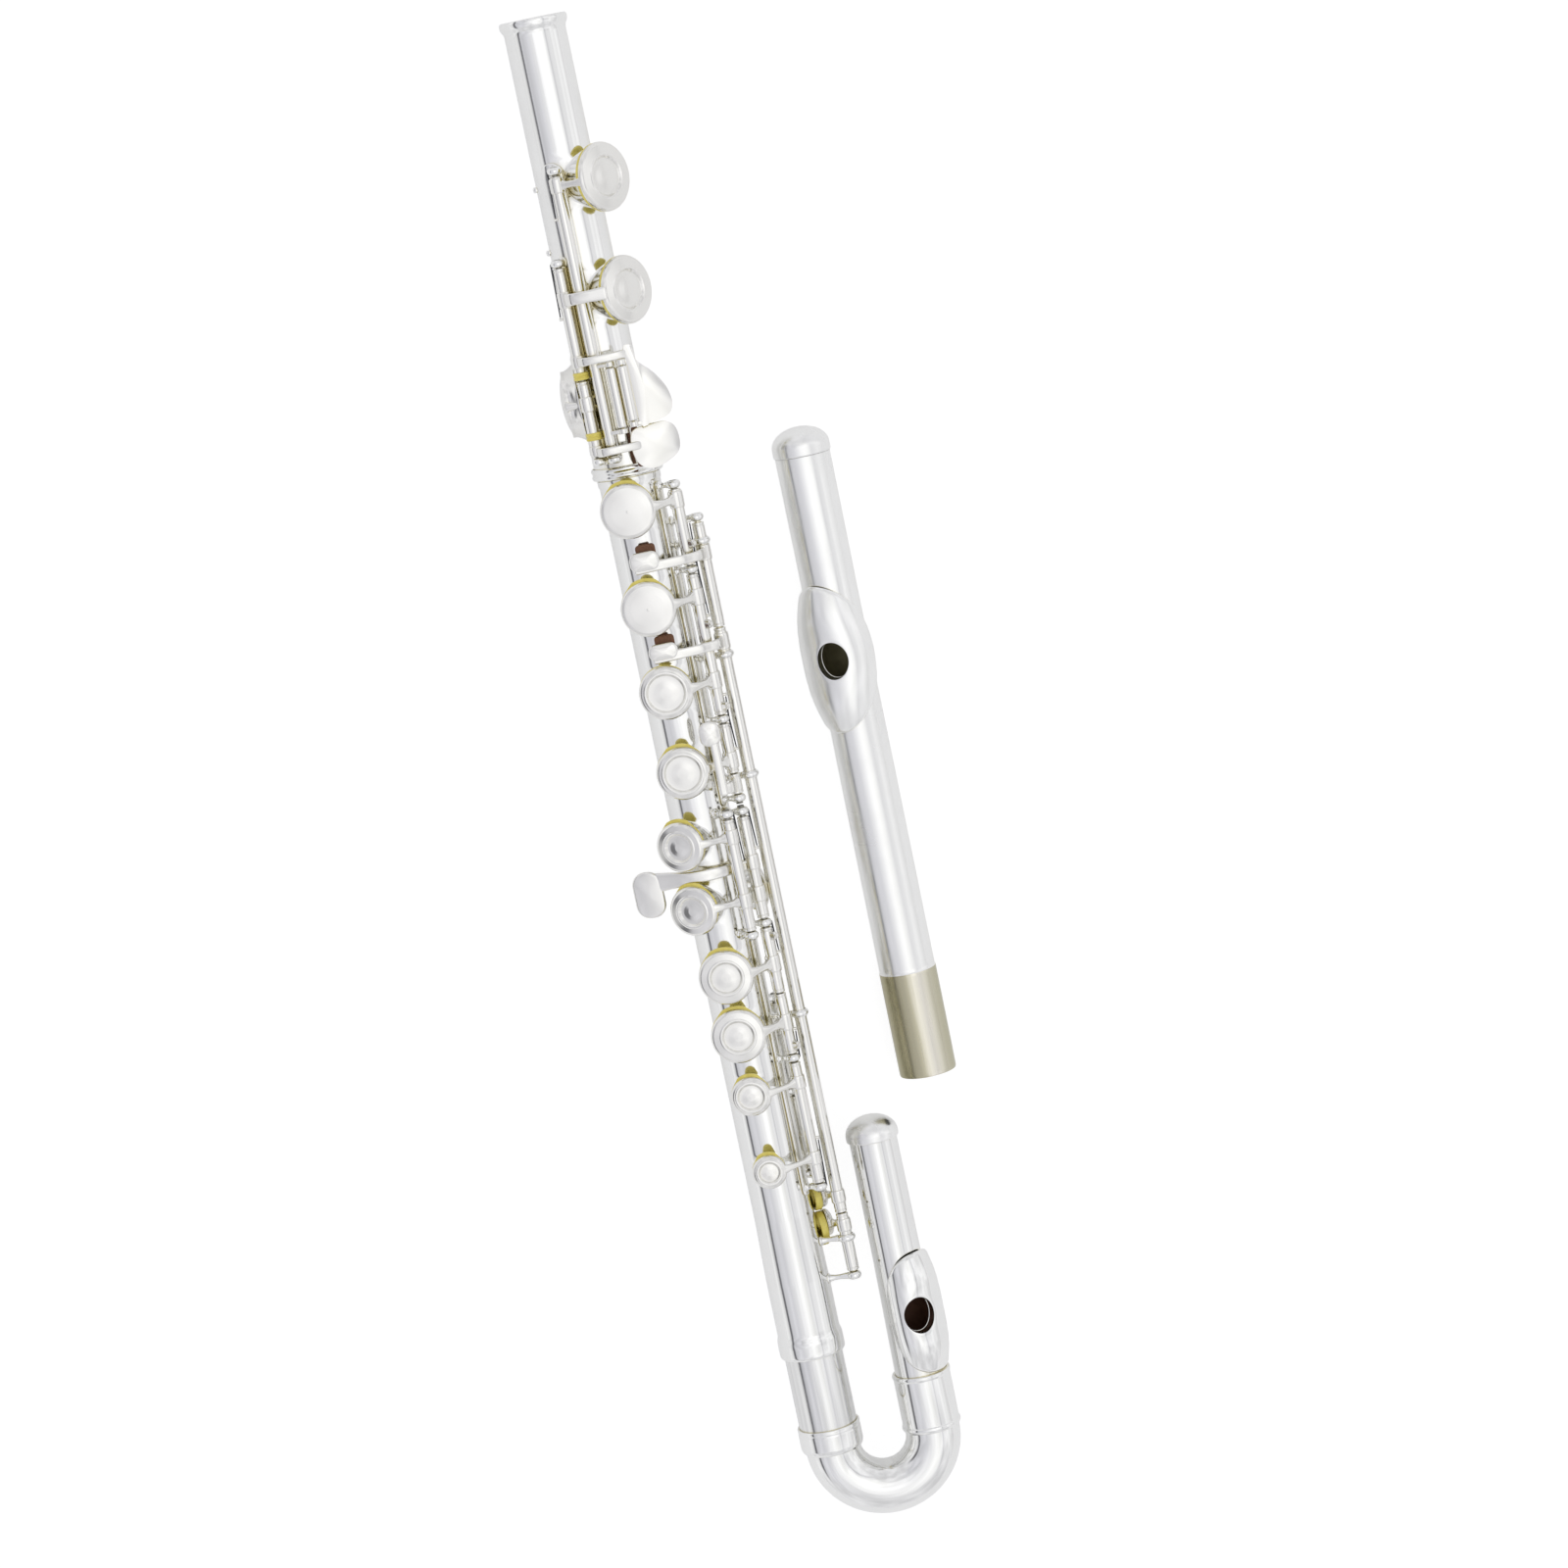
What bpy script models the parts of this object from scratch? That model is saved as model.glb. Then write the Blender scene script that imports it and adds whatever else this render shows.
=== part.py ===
"""Closed-hole concert flute with a C foot, offset G keys and a curved head joint,
with its spare straight head joint lying beside it.

Lengths are in millimetres and become metres in one place, the function at().
The flute's own frame: s runs along the tube from the foot end towards the head,
t runs sideways towards the hinge rods, and z points up through the main keys.
Angles round the tube are in degrees, from the top towards the rods.
"""

import math

import bmesh
import bpy
from mathutils import Matrix, Vector

MM = 0.001
AXLE = Vector((1.0, 0.0, 0.0))

# Where the flute lies: its foot end is at +X, and it leans on its end bead and thumb key.
FOOT_X = 252.3
FLUTE_Y = 20.3
BEAD_R = 10.9
THUMB_REST = (352.0, 16.4)
LEAN = math.atan2(THUMB_REST[1] - BEAD_R, THUMB_REST[0])

# Tubes: outer radii and the stations of their ends.
TUBE_R, BORE_R = 9.9, 9.5
TENON_R, SOCKET_BORE_R, SOCKET_R = 9.7, 10.0, 10.45
FOOT_LENGTH = 147.2
TENON_END = 127.0
BARREL_START, BODY_END = 409.0, 443.7
BARREL_R, BARREL_BORE_R = 10.35, 9.95
TUBE_STEPS = 20
HOLE_STEPS = 12

# Tone holes, pads and key cups.
RIM_R = 11.9
SEAT_GAP = 0.3
PAD_PROUD = 0.9
CUP_HEIGHT = 2.7
CUP_WALL = 0.8
RECESS = 1.5
CHIMNEY_WALL = 0.8
CUP_STEPS = 16
PAD_GAP = 0.3

# Hinge rods: steels inside hinge tubes, held by posts with drilled balls.
STEEL_R, HINGE_BORE_R, HINGE_R = 1.0, 1.3, 2.0
BALL_R, BALL_HALF = 2.35, 1.2
POST_R = 1.1
RIB_WIDTH, RIB_THICK = 3.4, 0.8
RIB_R = TUBE_R + 0.3
MAIN_AXIS = (13.5, 8.5)
G_AXIS = (8.6, 13.8)
TRILL_AXIS = (18.6, 4.1)
THUMB_AXIS = (11.5, -10.5)
C_AXIS = (-2.9, 13.4)
CSHARP_AXIS = (-7.9, 11.4)
C_ROLLER, CSHARP_ROLLER = (2.0, 15.0), (6.0, 15.0)
ROLLER_R, ROLLER_PIN_R = 1.85, 0.5

# How far the keys stand open, and how far the closed ones open.
OPEN_MAIN, OPEN_FOOT, OPEN_CLOSED = 8.5, 8.0, 8.0

# Tone holes: station, angle round the tube, hole radius.
HOLES = {
    "d": (157.3, -13, 6.7),
    "e": (189.2, -13, 6.7),
    "f": (216.7, -13, 6.5),
    "fsharp": (243.2, -13, 6.4),
    "g_low": (266.9, -34, 6.0),
    "g_high": (288.2, -34, 6.0),
    "gsharp": (287.7, 116, 6.1),
    "a": (311.3, -13, 6.5),
    "bflat": (331.0, -13, 6.5),
    "thumb": (336.0, 180, 6.3),
    "c": (351.4, -13, 4.2),
    "csharp": (377.2, -10, 3.4),
    "d_trill": (392.6, 105, 2.6),
    "dsharp_trill": (402.4, 105, 2.6),
}
FOOT_HOLES = {
    "low_c": (52.8, 54, 7.9),
    "low_csharp": (88.8, 54, 7.9),
    "low_dsharp": (121.5, -90, 7.6),
}
CUPS = {
    "d": (8.9, False),
    "e": (8.9, False),
    "f": (8.7, False),
    "fsharp": (8.6, False),
    "g_low": (8.2, True),
    "g_high": (8.2, True),
    "gsharp": (8.2, True),
    "a": (8.9, True),
    "bflat": (8.9, True),
    "thumb": (8.5, True),
    "c": (6.5, False),
    "csharp": (5.6, False),
    "d_trill": (4.5, False),
    "dsharp_trill": (4.5, False),
    "low_c": (11.0, True),
    "low_csharp": (10.9, True),
    "low_dsharp": (11.5, True),
}

# The outlines of the foot's two finger plates, as station and place across the tube.
CSHARP_TOUCH = [
    (107.2, 8.8), (107.2, 10.4), (111.8, 11.0), (113.4, 13.4), (115.8, 15.9), (119.4, 17.7),
    (123.4, 18.5), (127.4, 18.1), (129.5, 16.2), (130.2, 13.2), (131.0, 10.6), (131.0, 8.8),
]
DSHARP_TOUCH = [
    (133.4, 3.2), (132.5, 8.0), (132.2, 12.4), (132.8, 15.4), (134.8, 17.2), (138.0, 17.8),
    (141.2, 16.8), (143.4, 14.2), (144.5, 10.4), (144.5, 6.0), (143.8, 3.2),
]

# The curved head joint.
HEAD_R, HEAD_WALL = 9.65, 0.4
HEAD_TENON_END = 411.5
BEND_START, BEND_RADIUS, BEND_R = 477.1, 16.8, 9.1
LOWER_END = 471.6
LEG_T = 2 * BEND_RADIUS
UPPER_START, UPPER_END = 474.0, 377.0
UPPER_R = (8.6, 7.9)
CURVED_HOLE = 435.6
CURVED_CROWN_TOP = 369.0
CURVED_ROLL = 16

# The straight head joint, lying beside the flute with its crown towards the foot.
SPARE_Y = FLUTE_Y - 56.0
SPARE_R = 9.4
SPARE_CROWN_TOP, SPARE_END = 143.5, 360.2
SPARE_TUBE_START = 152.6
SPARE_TENON = 324.9
SPARE_HOLE = 218.6
SPARE_ROLL = -18
STEM_R = 1.5

SILVER = ((0.86, 0.86, 0.84), 0.16, 1.0)
SILVER_KEYS = ((0.82, 0.82, 0.80), 0.2, 1.0)
STEEL = ((0.55, 0.55, 0.52), 0.3, 1.0)
SKIN = ((0.72, 0.55, 0.2), 0.6, 0.0)
CORK = ((0.5, 0.33, 0.18), 0.8, 0.0)


def start_clean():
    for thing in list(bpy.data.objects):
        bpy.data.objects.remove(thing)


def collection(name):
    made = bpy.data.collections.new(name)
    bpy.context.scene.collection.children.link(made)
    return made


def material(name, look):
    color, roughness, metallic = look
    made = bpy.data.materials.new(name)
    made.use_nodes = True
    shader = made.node_tree.nodes["Principled BSDF"]
    shader.inputs["Base Color"].default_value = (*color, 1.0)
    shader.inputs["Roughness"].default_value = roughness
    shader.inputs["Metallic"].default_value = metallic
    return made


def at(s, t, z):
    """A point of the flute's own frame, in metres: x runs towards the foot end."""
    return Vector((-s, -t, z)) * MM


def around(s, angle, radius):
    """The point at this angle and radius round the tube."""
    turn = math.radians(angle)
    return at(s, radius * math.sin(turn), radius * math.cos(turn))


def outward(angle):
    turn = math.radians(angle)
    return Vector((0.0, -math.sin(turn), math.cos(turn)))


def solid(mesh):
    thing = bpy.data.objects.new(mesh.name, mesh)
    bpy.context.scene.collection.objects.link(thing)
    return thing


def evaluated(thing):
    """The thing with its modifiers or curve settings baked into a new mesh object."""
    bpy.context.view_layer.update()
    graph = bpy.context.evaluated_depsgraph_get()
    mesh = bpy.data.meshes.new_from_object(thing.evaluated_get(graph), depsgraph=graph)
    mesh.transform(thing.matrix_world)
    bpy.data.objects.remove(thing)
    return solid(mesh)


def tidied(thing, merge=0.000002):
    """Doubles merged, slivers dissolved and every face turned outwards."""
    work = bmesh.new()
    work.from_mesh(thing.data)
    bmesh.ops.remove_doubles(work, verts=work.verts, dist=merge)
    bmesh.ops.dissolve_degenerate(work, edges=work.edges, dist=merge)
    bmesh.ops.recalc_face_normals(work, faces=work.faces)
    work.to_mesh(thing.data)
    work.free()
    return thing


def turned(profile, base, direction, steps, phase=0.0):
    """A turned solid: (radius, height) points from the axis down the outer side, or a
    closed loop for a ring, turned about the direction through the base."""
    mesh = bpy.data.meshes.new("turned")
    ring = profile[0][0] > 0 and profile[-1][0] > 0
    edges = [(i, i + 1) for i in range(len(profile) - 1)]
    if ring:
        edges.append((len(profile) - 1, 0))
    mesh.from_pydata([(r * MM, 0.0, h * MM) for r, h in profile], edges, [])
    thing = solid(mesh)
    screw = thing.modifiers.new("turn", "SCREW")
    screw.steps = steps
    screw.render_steps = steps
    screw.use_merge_vertices = True
    screw.merge_threshold = 0.000005
    facing = direction.to_track_quat("Z", "Y").to_matrix().to_4x4()
    spin = Matrix.Rotation(math.radians(phase), 4, "Z")
    thing.matrix_world = Matrix.Translation(base) @ facing @ spin
    return tidied(evaluated(thing))


def rod(start, end, radius, steps=10, end_radius=None):
    """A round bar or cone between two points."""
    mesh = bpy.data.meshes.new("rod")
    work = bmesh.new()
    far = radius if end_radius is None else end_radius
    length = (end - start).length
    bmesh.ops.create_cone(
        work, cap_ends=True, segments=steps, radius1=radius * MM, radius2=far * MM, depth=length
    )
    facing = (end - start).to_track_quat("Z", "Y").to_matrix().to_4x4()
    bmesh.ops.transform(work, matrix=Matrix.Translation((start + end) / 2) @ facing, verts=work.verts)
    work.to_mesh(mesh)
    work.free()
    return solid(mesh)


def arm(start, end, widths, depths, sides=8):
    """A rounded arm that tapers from one oval section to another; its width runs along
    the tube and its depth across the arm."""
    mesh = bpy.data.meshes.new("arm")
    work = bmesh.new()
    bmesh.ops.create_cone(work, cap_ends=True, segments=sides, radius1=0.5, radius2=0.5, depth=1.0)
    run = end - start
    deep = run.normalized().cross(AXLE).normalized()
    for vert in work.verts:
        share = vert.co.z + 0.5
        width = widths[0] + (widths[1] - widths[0]) * share
        depth = depths[0] + (depths[1] - depths[0]) * share
        vert.co = start + run * share + (AXLE * vert.co.x * width + deep * vert.co.y * depth) * MM
    bmesh.ops.recalc_face_normals(work, faces=work.faces)
    work.to_mesh(mesh)
    work.free()
    return solid(mesh)


def flat(outline, thickness, matrix):
    """A flat piece: an outline in millimetres, thickened both ways and placed by the matrix."""
    curve = bpy.data.curves.new("flat", "CURVE")
    curve.dimensions = "2D"
    curve.fill_mode = "BOTH"
    curve.extrude = thickness / 2 * MM
    spline = curve.splines.new("POLY")
    spline.points.add(len(outline) - 1)
    for point, (x, y) in zip(spline.points, outline):
        point.co = (x * MM, y * MM, 0.0, 1.0)
    spline.use_cyclic_u = True
    thing = bpy.data.objects.new("flat", curve)
    bpy.context.scene.collection.objects.link(thing)
    thing.matrix_world = matrix
    return tidied(evaluated(thing), merge=0.00001)


def lever(path, thickness, s, width):
    """A cranked strap seen from the end: (t, z) points joined by a bar of this thickness,
    as wide as given along the tube."""
    points = [Vector(p) for p in path]
    left, right = [], []
    for i, point in enumerate(points):
        before = (point - points[i - 1]).normalized() if i else None
        after = (points[i + 1] - point).normalized() if i + 1 < len(points) else None
        along = ((before or after) + (after or before)).normalized()
        side = Vector((-along.y, along.x))
        stretch = 1.0 / max(0.5, side.dot(Vector((-(after or before).y, (after or before).x))))
        left.append(point + side * thickness / 2 * stretch)
        right.append(point - side * thickness / 2 * stretch)
    outline = [(p.x, p.y) for p in left + right[::-1]]
    columns = Matrix(((0, 0, -1, 0), (-1, 0, 0, 0), (0, 1, 0, 0), (0, 0, 0, 1)))
    return flat(outline, width, Matrix.Translation(at(s, 0, 0)) @ columns)


def rounded(length, width, corner, steps=3):
    """The outline of a rectangle with round corners, centred on the origin."""
    outline = []
    for quarter in range(4):
        sx, sy = ((1, 1), (-1, 1), (-1, -1), (1, -1))[quarter]
        centre = (sx * (length / 2 - corner), sy * (width / 2 - corner))
        for step in range(steps + 1):
            turn = math.pi / 2 * (quarter + step / steps)
            outline.append((centre[0] + corner * math.cos(turn), centre[1] + corner * math.sin(turn)))
    return outline


def touch(s, t, z, length, width, corner, thickness, tilt=0.0):
    """A finger plate with rounded corners, tilted about the tube's direction."""
    place = Matrix.Translation(at(s, t, z)) @ Matrix.Rotation(math.radians(tilt), 4, "X")
    return flat(rounded(length, width, corner), thickness, place)


def shaped_touch(outline, centre, thickness, tilt):
    """A finger plate with its own outline, tilted about the tube's direction."""
    s0, t0, _ = centre
    place = Matrix.Translation(at(*centre)) @ Matrix.Rotation(math.radians(tilt), 4, "X")
    return flat([(s0 - s, t0 - t) for s, t in outline], thickness, place)


def fused(name, solids, cutters=()):
    """One body: the solids joined, then the cutters taken away."""
    first = solids[0]
    for other in solids[1:]:
        join = first.modifiers.new("join", "BOOLEAN")
        join.operation = "UNION"
        join.object = other
    for cutter in cutters:
        cut = first.modifiers.new("cut", "BOOLEAN")
        cut.operation = "DIFFERENCE"
        cut.object = cutter
    made = evaluated(first)
    for spent in list(solids[1:]) + list(cutters):
        bpy.data.objects.remove(spent)
    made.name = name
    return tidied(made, merge=0.000003)


def finish(thing, name, look, parent, hinge=None, swing=0.0, pivot=None):
    """Names the piece, swings it about its hinge to its rest position, puts its origin on
    that hinge, or on the pivot that the swing carries along, and hangs it on its parent."""
    mesh = thing.data
    origin = at(*hinge) if hinge else Vector((0.0, 0.0, 0.0))
    turn = Matrix.Rotation(math.radians(swing), 4, "X")
    carried = turn @ (at(*pivot) - origin) if pivot else Vector((0.0, 0.0, 0.0))
    mesh.transform(Matrix.Translation(-carried) @ turn @ Matrix.Translation(-origin))
    thing.name = name
    mesh.name = name
    mesh.materials.clear()
    mesh.materials.append(look)
    mesh.shade_smooth()
    mesh.set_sharp_from_angle(angle=math.radians(35))
    for holder in list(thing.users_collection):
        holder.objects.unlink(thing)
    flute.objects.link(thing)
    thing.location = origin + carried
    thing.parent = parent
    return thing


def empty(name, location, lean=0.0, parent=None):
    made = bpy.data.objects.new(name, None)
    flute.objects.link(made)
    made.location = location
    made.rotation_euler = (0.0, lean, 0.0)
    made.parent = parent
    return made


def hinge_tube(axis, start, end, radius=HINGE_R):
    return rod(at(start, *axis), at(end, *axis), radius)


def drill(axis, start, end, radius=HINGE_BORE_R):
    """The cutter for a hinge tube's bore, longer than the tube."""
    return rod(at(start - 1, *axis), at(end + 1, *axis), radius)


def ball(s, axis, bore=HINGE_BORE_R, radius=BALL_R):
    """The drilled ball of a post, as a ring turned about the steel."""
    shoulder = radius - 0.55
    profile = [
        (bore, BALL_HALF), (shoulder, BALL_HALF), (radius, 0.0), (shoulder, -BALL_HALF), (bore, -BALL_HALF)
    ]
    return turned(profile, at(s, *axis), AXLE, 8)


def post(s, axis, foot_r, bore=HINGE_BORE_R, radius=BALL_R):
    """A tapered pillar from the rib to the drilled ball."""
    reach = math.hypot(*axis)
    angle = math.degrees(math.atan2(*axis))
    top = reach - (bore + radius) / 2
    pillar = rod(around(s, angle, foot_r), around(s, angle, top), POST_R * 1.25, 8, POST_R * 0.85)
    return [pillar, ball(s, axis, bore, radius)]


def rib(start, end, angle, width=RIB_WIDTH):
    """A flat strap along the tube, which the posts stand on."""
    mesh = bpy.data.meshes.new("rib")
    work = bmesh.new()
    bmesh.ops.create_cube(work, size=1.0)
    size = Matrix.Diagonal((abs(end - start) * MM, width * MM, RIB_THICK * MM, 1.0))
    facing = Matrix.Rotation(math.radians(angle), 4, "X")
    place = Matrix.Translation(around((start + end) / 2, angle, RIB_R + RIB_THICK / 2))
    bmesh.ops.transform(work, matrix=place @ facing @ size, verts=work.verts)
    work.to_mesh(mesh)
    work.free()
    return solid(mesh)


def cup(name):
    """The solid cup over a tone hole, closed, before its recess is cut."""
    s, angle, _ = (HOLES | FOOT_HOLES)[name]
    radius, dished = CUPS[name]
    high = CUP_HEIGHT if radius > 5 else CUP_HEIGHT - 0.5
    if dished:
        ring = radius * 0.56
        crown = [(0, high - 0.8), (ring - 0.7, high - 0.8), (ring, high), (ring + 0.9, high - 0.05)]
    else:
        crown = [(0, high - 0.2), (radius * 0.6, high - 0.2), (radius * 0.66, high)]
    edge = [(radius - 0.9, high - 0.3), (radius, high - 1.1), (radius, 0), (0, 0)]
    base = around(s, angle, RIM_R + SEAT_GAP + PAD_PROUD)
    return turned(crown + edge, base, outward(angle), CUP_STEPS)


def recess(name):
    s, angle, _ = (HOLES | FOOT_HOLES)[name]
    base = RIM_R + SEAT_GAP + PAD_PROUD
    radius = CUPS[name][0] - CUP_WALL
    depth = RECESS if CUPS[name][0] > 5 else RECESS - 0.4
    return rod(around(s, angle, base - 1), around(s, angle, base + depth), radius, CUP_STEPS)


def pad(name):
    """The felt disc in the cup, with its rounded edge proud of it."""
    s, angle, _ = (HOLES | FOOT_HOLES)[name]
    radius = (CUPS[name][0] - CUP_WALL) * math.cos(math.pi / CUP_STEPS) - PAD_GAP
    top = (RECESS if CUPS[name][0] > 5 else RECESS - 0.4) - PAD_GAP
    profile = [
        (0, top), (radius, top), (radius, 0.4 - PAD_PROUD), (radius - 0.45, -PAD_PROUD), (0, -PAD_PROUD)
    ]
    base = around(s, angle, RIM_R + SEAT_GAP + PAD_PROUD)
    return turned(profile, base, outward(angle), CUP_STEPS)


def chimneys(holes):
    """The drawn walls round the tone holes, and the holes themselves as cutters."""
    walls, bores = [], []
    for s, angle, radius in holes.values():
        inner, rim = around(s, angle, 5), around(s, angle, RIM_R)
        walls.append(rod(inner, rim, radius + CHIMNEY_WALL, HOLE_STEPS))
        bores.append(rod(around(s, angle, 2), around(s, angle, RIM_R + 2), radius, HOLE_STEPS))
    return walls, bores


def cup_arm(name, axis, width=4.2, depth=2.2):
    """The arm from a hinge tube to the wall of a cup."""
    s, angle, _ = (HOLES | FOOT_HOLES)[name]
    radius = CUPS[name][0]
    turn = math.radians(angle)
    height = RIM_R + SEAT_GAP + PAD_PROUD + 1.6
    middle = Vector((height * math.sin(turn), height * math.cos(turn)))
    hinge = Vector(axis)
    across = Vector((math.cos(turn), -math.sin(turn)))
    if (hinge - middle).dot(across) < 0:
        across = -across
    tip = middle + across * (radius - 1.6)
    aim = (tip - hinge).normalized()
    start = hinge + aim * 0.6
    return arm(at(s, *start), at(s, *tip), (width + 1.2, width), (depth + 0.6, depth - 0.5))


def hollow_tube(outer, inner, steps=TUBE_STEPS):
    """A tube along the flute's axis: (s, radius) points of the outside and of the bore."""
    profile = [(r, -s) for s, r in outer] + [(r, -s) for s, r in reversed(inner)]
    return turned(profile, Vector((0, 0, 0)), AXLE, steps)


def stock(outline, steps=TUBE_STEPS):
    """A solid turned bar along the flute's axis through these (s, radius) points."""
    profile = [(r, -s) for s, r in outline]
    return turned([(0, profile[0][1])] + profile + [(0, profile[-1][1])], Vector((0, 0, 0)), AXLE, steps)


def past_ends(outline, more=2.0):
    """The same outline reaching past both of its ends, for a cutter."""
    (first_s, first_r), (last_s, last_r) = outline[0], outline[-1]
    return [(first_s - more, first_r)] + outline[1:-1] + [(last_s + more, last_r)]


def make_body(parent, silver, steel):
    outer = [
        (TENON_END, TENON_R), (FOOT_LENGTH + 0.3, TENON_R), (FOOT_LENGTH + 0.4, TUBE_R + 0.35),
        (FOOT_LENGTH + 2.4, TUBE_R + 0.35), (FOOT_LENGTH + 2.9, TUBE_R),
        (BARREL_START - 2, TUBE_R), (BARREL_START, BARREL_R), (BODY_END - 8, BARREL_R),
        (BODY_END - 5, BARREL_R + 0.5), (BODY_END - 1, BARREL_R + 0.55), (BODY_END, BARREL_R + 0.2),
    ]
    inner = [
        (TENON_END, BORE_R), (BARREL_START - 1, BORE_R), (BARREL_START + 1, BARREL_BORE_R),
        (BODY_END, BARREL_BORE_R),
    ]
    walls, bores = chimneys(HOLES)
    for s in (259.4, 299.8):
        walls += post(s, G_AXIS, TUBE_R - 0.3)
    walls += post(326.2, THUMB_AXIS, TUBE_R - 0.3)
    for s in (330.0, 406.8):
        walls += post(s, TRILL_AXIS, TUBE_R - 0.3, HINGE_R + 0.3, HINGE_R + 0.95)
    walls += post(419.8, TRILL_AXIS, TUBE_R - 0.3)
    body = fused("body_tube", [stock(outer)] + walls, [stock(past_ends(inner))] + bores)
    finish(body, "body_tube", silver, parent)

    main = math.degrees(math.atan2(*MAIN_AXIS))
    right = [rib(150.6, 258.0, main)]
    for s in (152.4, 180.2, 229.6, 255.8):
        right += post(s, MAIN_AXIS, RIB_R + 0.4)
    finish(fused("right_hand_rib", right), "right_hand_rib", silver, parent)

    left = [rib(258.6, 390.0, main)]
    for s in (260.2, 297.6, 343.2, 387.2):
        left += post(s, MAIN_AXIS, RIB_R + 0.4)
    finish(fused("left_hand_rib", left), "left_hand_rib", silver, parent)

    trill = math.degrees(math.atan2(*TRILL_AXIS))
    posts = [rib(163.0, 251.4, trill)] + post(164.6, TRILL_AXIS, RIB_R + 0.4)
    for s in (172.4, 209.8, 249.6):
        posts += post(s, TRILL_AXIS, RIB_R + 0.4, HINGE_R + 0.3, HINGE_R + 0.95)
    finish(fused("trill_rib", posts), "trill_rib", silver, parent)

    thumb = math.degrees(math.atan2(*THUMB_AXIS))
    under = [rib(356.4, 388.6, thumb)]
    for s in (358.2, 386.8):
        under += post(s, THUMB_AXIS, RIB_R + 0.4)
    finish(fused("thumb_rib", under), "thumb_rib", silver, parent)

    for name, axis, start, end in (
        ("right_hand_steel", MAIN_AXIS, 151.4, 257.4),
        ("left_hand_steel", MAIN_AXIS, 258.6, 388.6),
        ("g_steel", G_AXIS, 258.2, 301.0),
        ("thumb_steel", THUMB_AXIS, 325.0, 388.0),
    ):
        finish(rod(at(start, *axis), at(end, *axis), STEEL_R, 8), name, steel, parent)


def key(name, parts, axis, spans, cups, look, parent, swing):
    """A key: its parts joined, its hinge tubes drilled and its cups' recesses cut."""
    drills = [drill(axis, *span) for span in spans]
    tubes = [hinge_tube(axis, *span) for span in spans]
    made = fused(name, tubes + parts, drills + [recess(c) for c in cups])
    hinge = (sum(spans[0]) / 2, *axis)
    finish(made, name, look, parent, hinge, swing)


def pads(names, axis, s, look, parent, swing):
    for name in names:
        finish(pad(name), name + "_pad", look, parent, (s, *axis), swing)


def make_right_hand_keys(parent, silver, skin):
    spans = {"d": (154.0, 178.6), "e": (181.8, 205.0), "f": (205.4, 228.0), "fsharp": (231.2, 247.4)}
    for name, span in spans.items():
        parts = [cup(name), cup_arm(name, MAIN_AXIS)]
        key(name + "_key", parts, MAIN_AXIS, [span], [name], silver, parent, OPEN_MAIN)
        pads([name], MAIN_AXIS, sum(span) / 2, skin, parent, OPEN_MAIN)

    strap = lever([(13.2, 10.0), (12.6, 14.6), (9.4, 17.6)], 1.4, 251.0, 4.0)
    bar = touch(242.6, 9.4, 17.6, 20.8, 2.6, 1.0, 1.4)
    finger = touch(232.3, 8.6, 17.6, 7.4, 6.6, 3.0, 1.6)
    key("side_bflat_lever", [strap, bar, finger], MAIN_AXIS, [(247.8, 254.2)], [], silver, parent, 0.0)


def make_left_hand_keys(parent, silver, skin):
    for name, span in {"a": (299.2, 321.0), "bflat": (321.4, 341.6)}.items():
        parts = [cup(name), cup_arm(name, MAIN_AXIS)]
        key(name + "_key", parts, MAIN_AXIS, [span], [name], silver, parent, OPEN_MAIN)
        pads([name], MAIN_AXIS, sum(span) / 2, skin, parent, OPEN_MAIN)

    parts = [cup("c"), cup_arm("c", MAIN_AXIS, 3.0), cup("csharp"), cup_arm("csharp", MAIN_AXIS, 3.0)]
    span = (344.8, 385.6)
    key("upper_c_key", parts, MAIN_AXIS, [span], ["c", "csharp"], silver, parent, OPEN_MAIN)
    pads(["c", "csharp"], MAIN_AXIS, sum(span) / 2, skin, parent, OPEN_MAIN)

    parts = [cup("g_low"), cup_arm("g_low", G_AXIS, 3.4), cup("g_high"), cup_arm("g_high", G_AXIS, 3.4)]
    span = (261.2, 298.2)
    key("g_key", parts, G_AXIS, [span], ["g_low", "g_high"], silver, parent, OPEN_MAIN)
    pads(["g_low", "g_high"], G_AXIS, sum(span) / 2, skin, parent, OPEN_MAIN)

    strap = [
        (12.8, 8.6), (9.6, 9.4), (6.0, 11.2), (0.0, 13.1), (-7.0, 12.6), (-13.0, 9.6), (-18.0, 7.4)
    ]
    parts = [
        lever(strap, 1.5, 277.1, 2.8),
        touch(281.4, -21.4, 6.8, 15.4, 10.0, 4.6, 1.6, -12.0),
        cup("gsharp"),
        lever([(14.0, 7.4), (15.0, 4.0), (15.2, -1.0), (14.6, -6.4)], 1.6, 287.7, 4.0),
    ]
    span = (262.0, 295.8)
    key("gsharp_key", parts, MAIN_AXIS, [span], ["gsharp"], silver, parent, 0.0)
    pads(["gsharp"], MAIN_AXIS, sum(span) / 2, skin, parent, 0.0)


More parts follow.
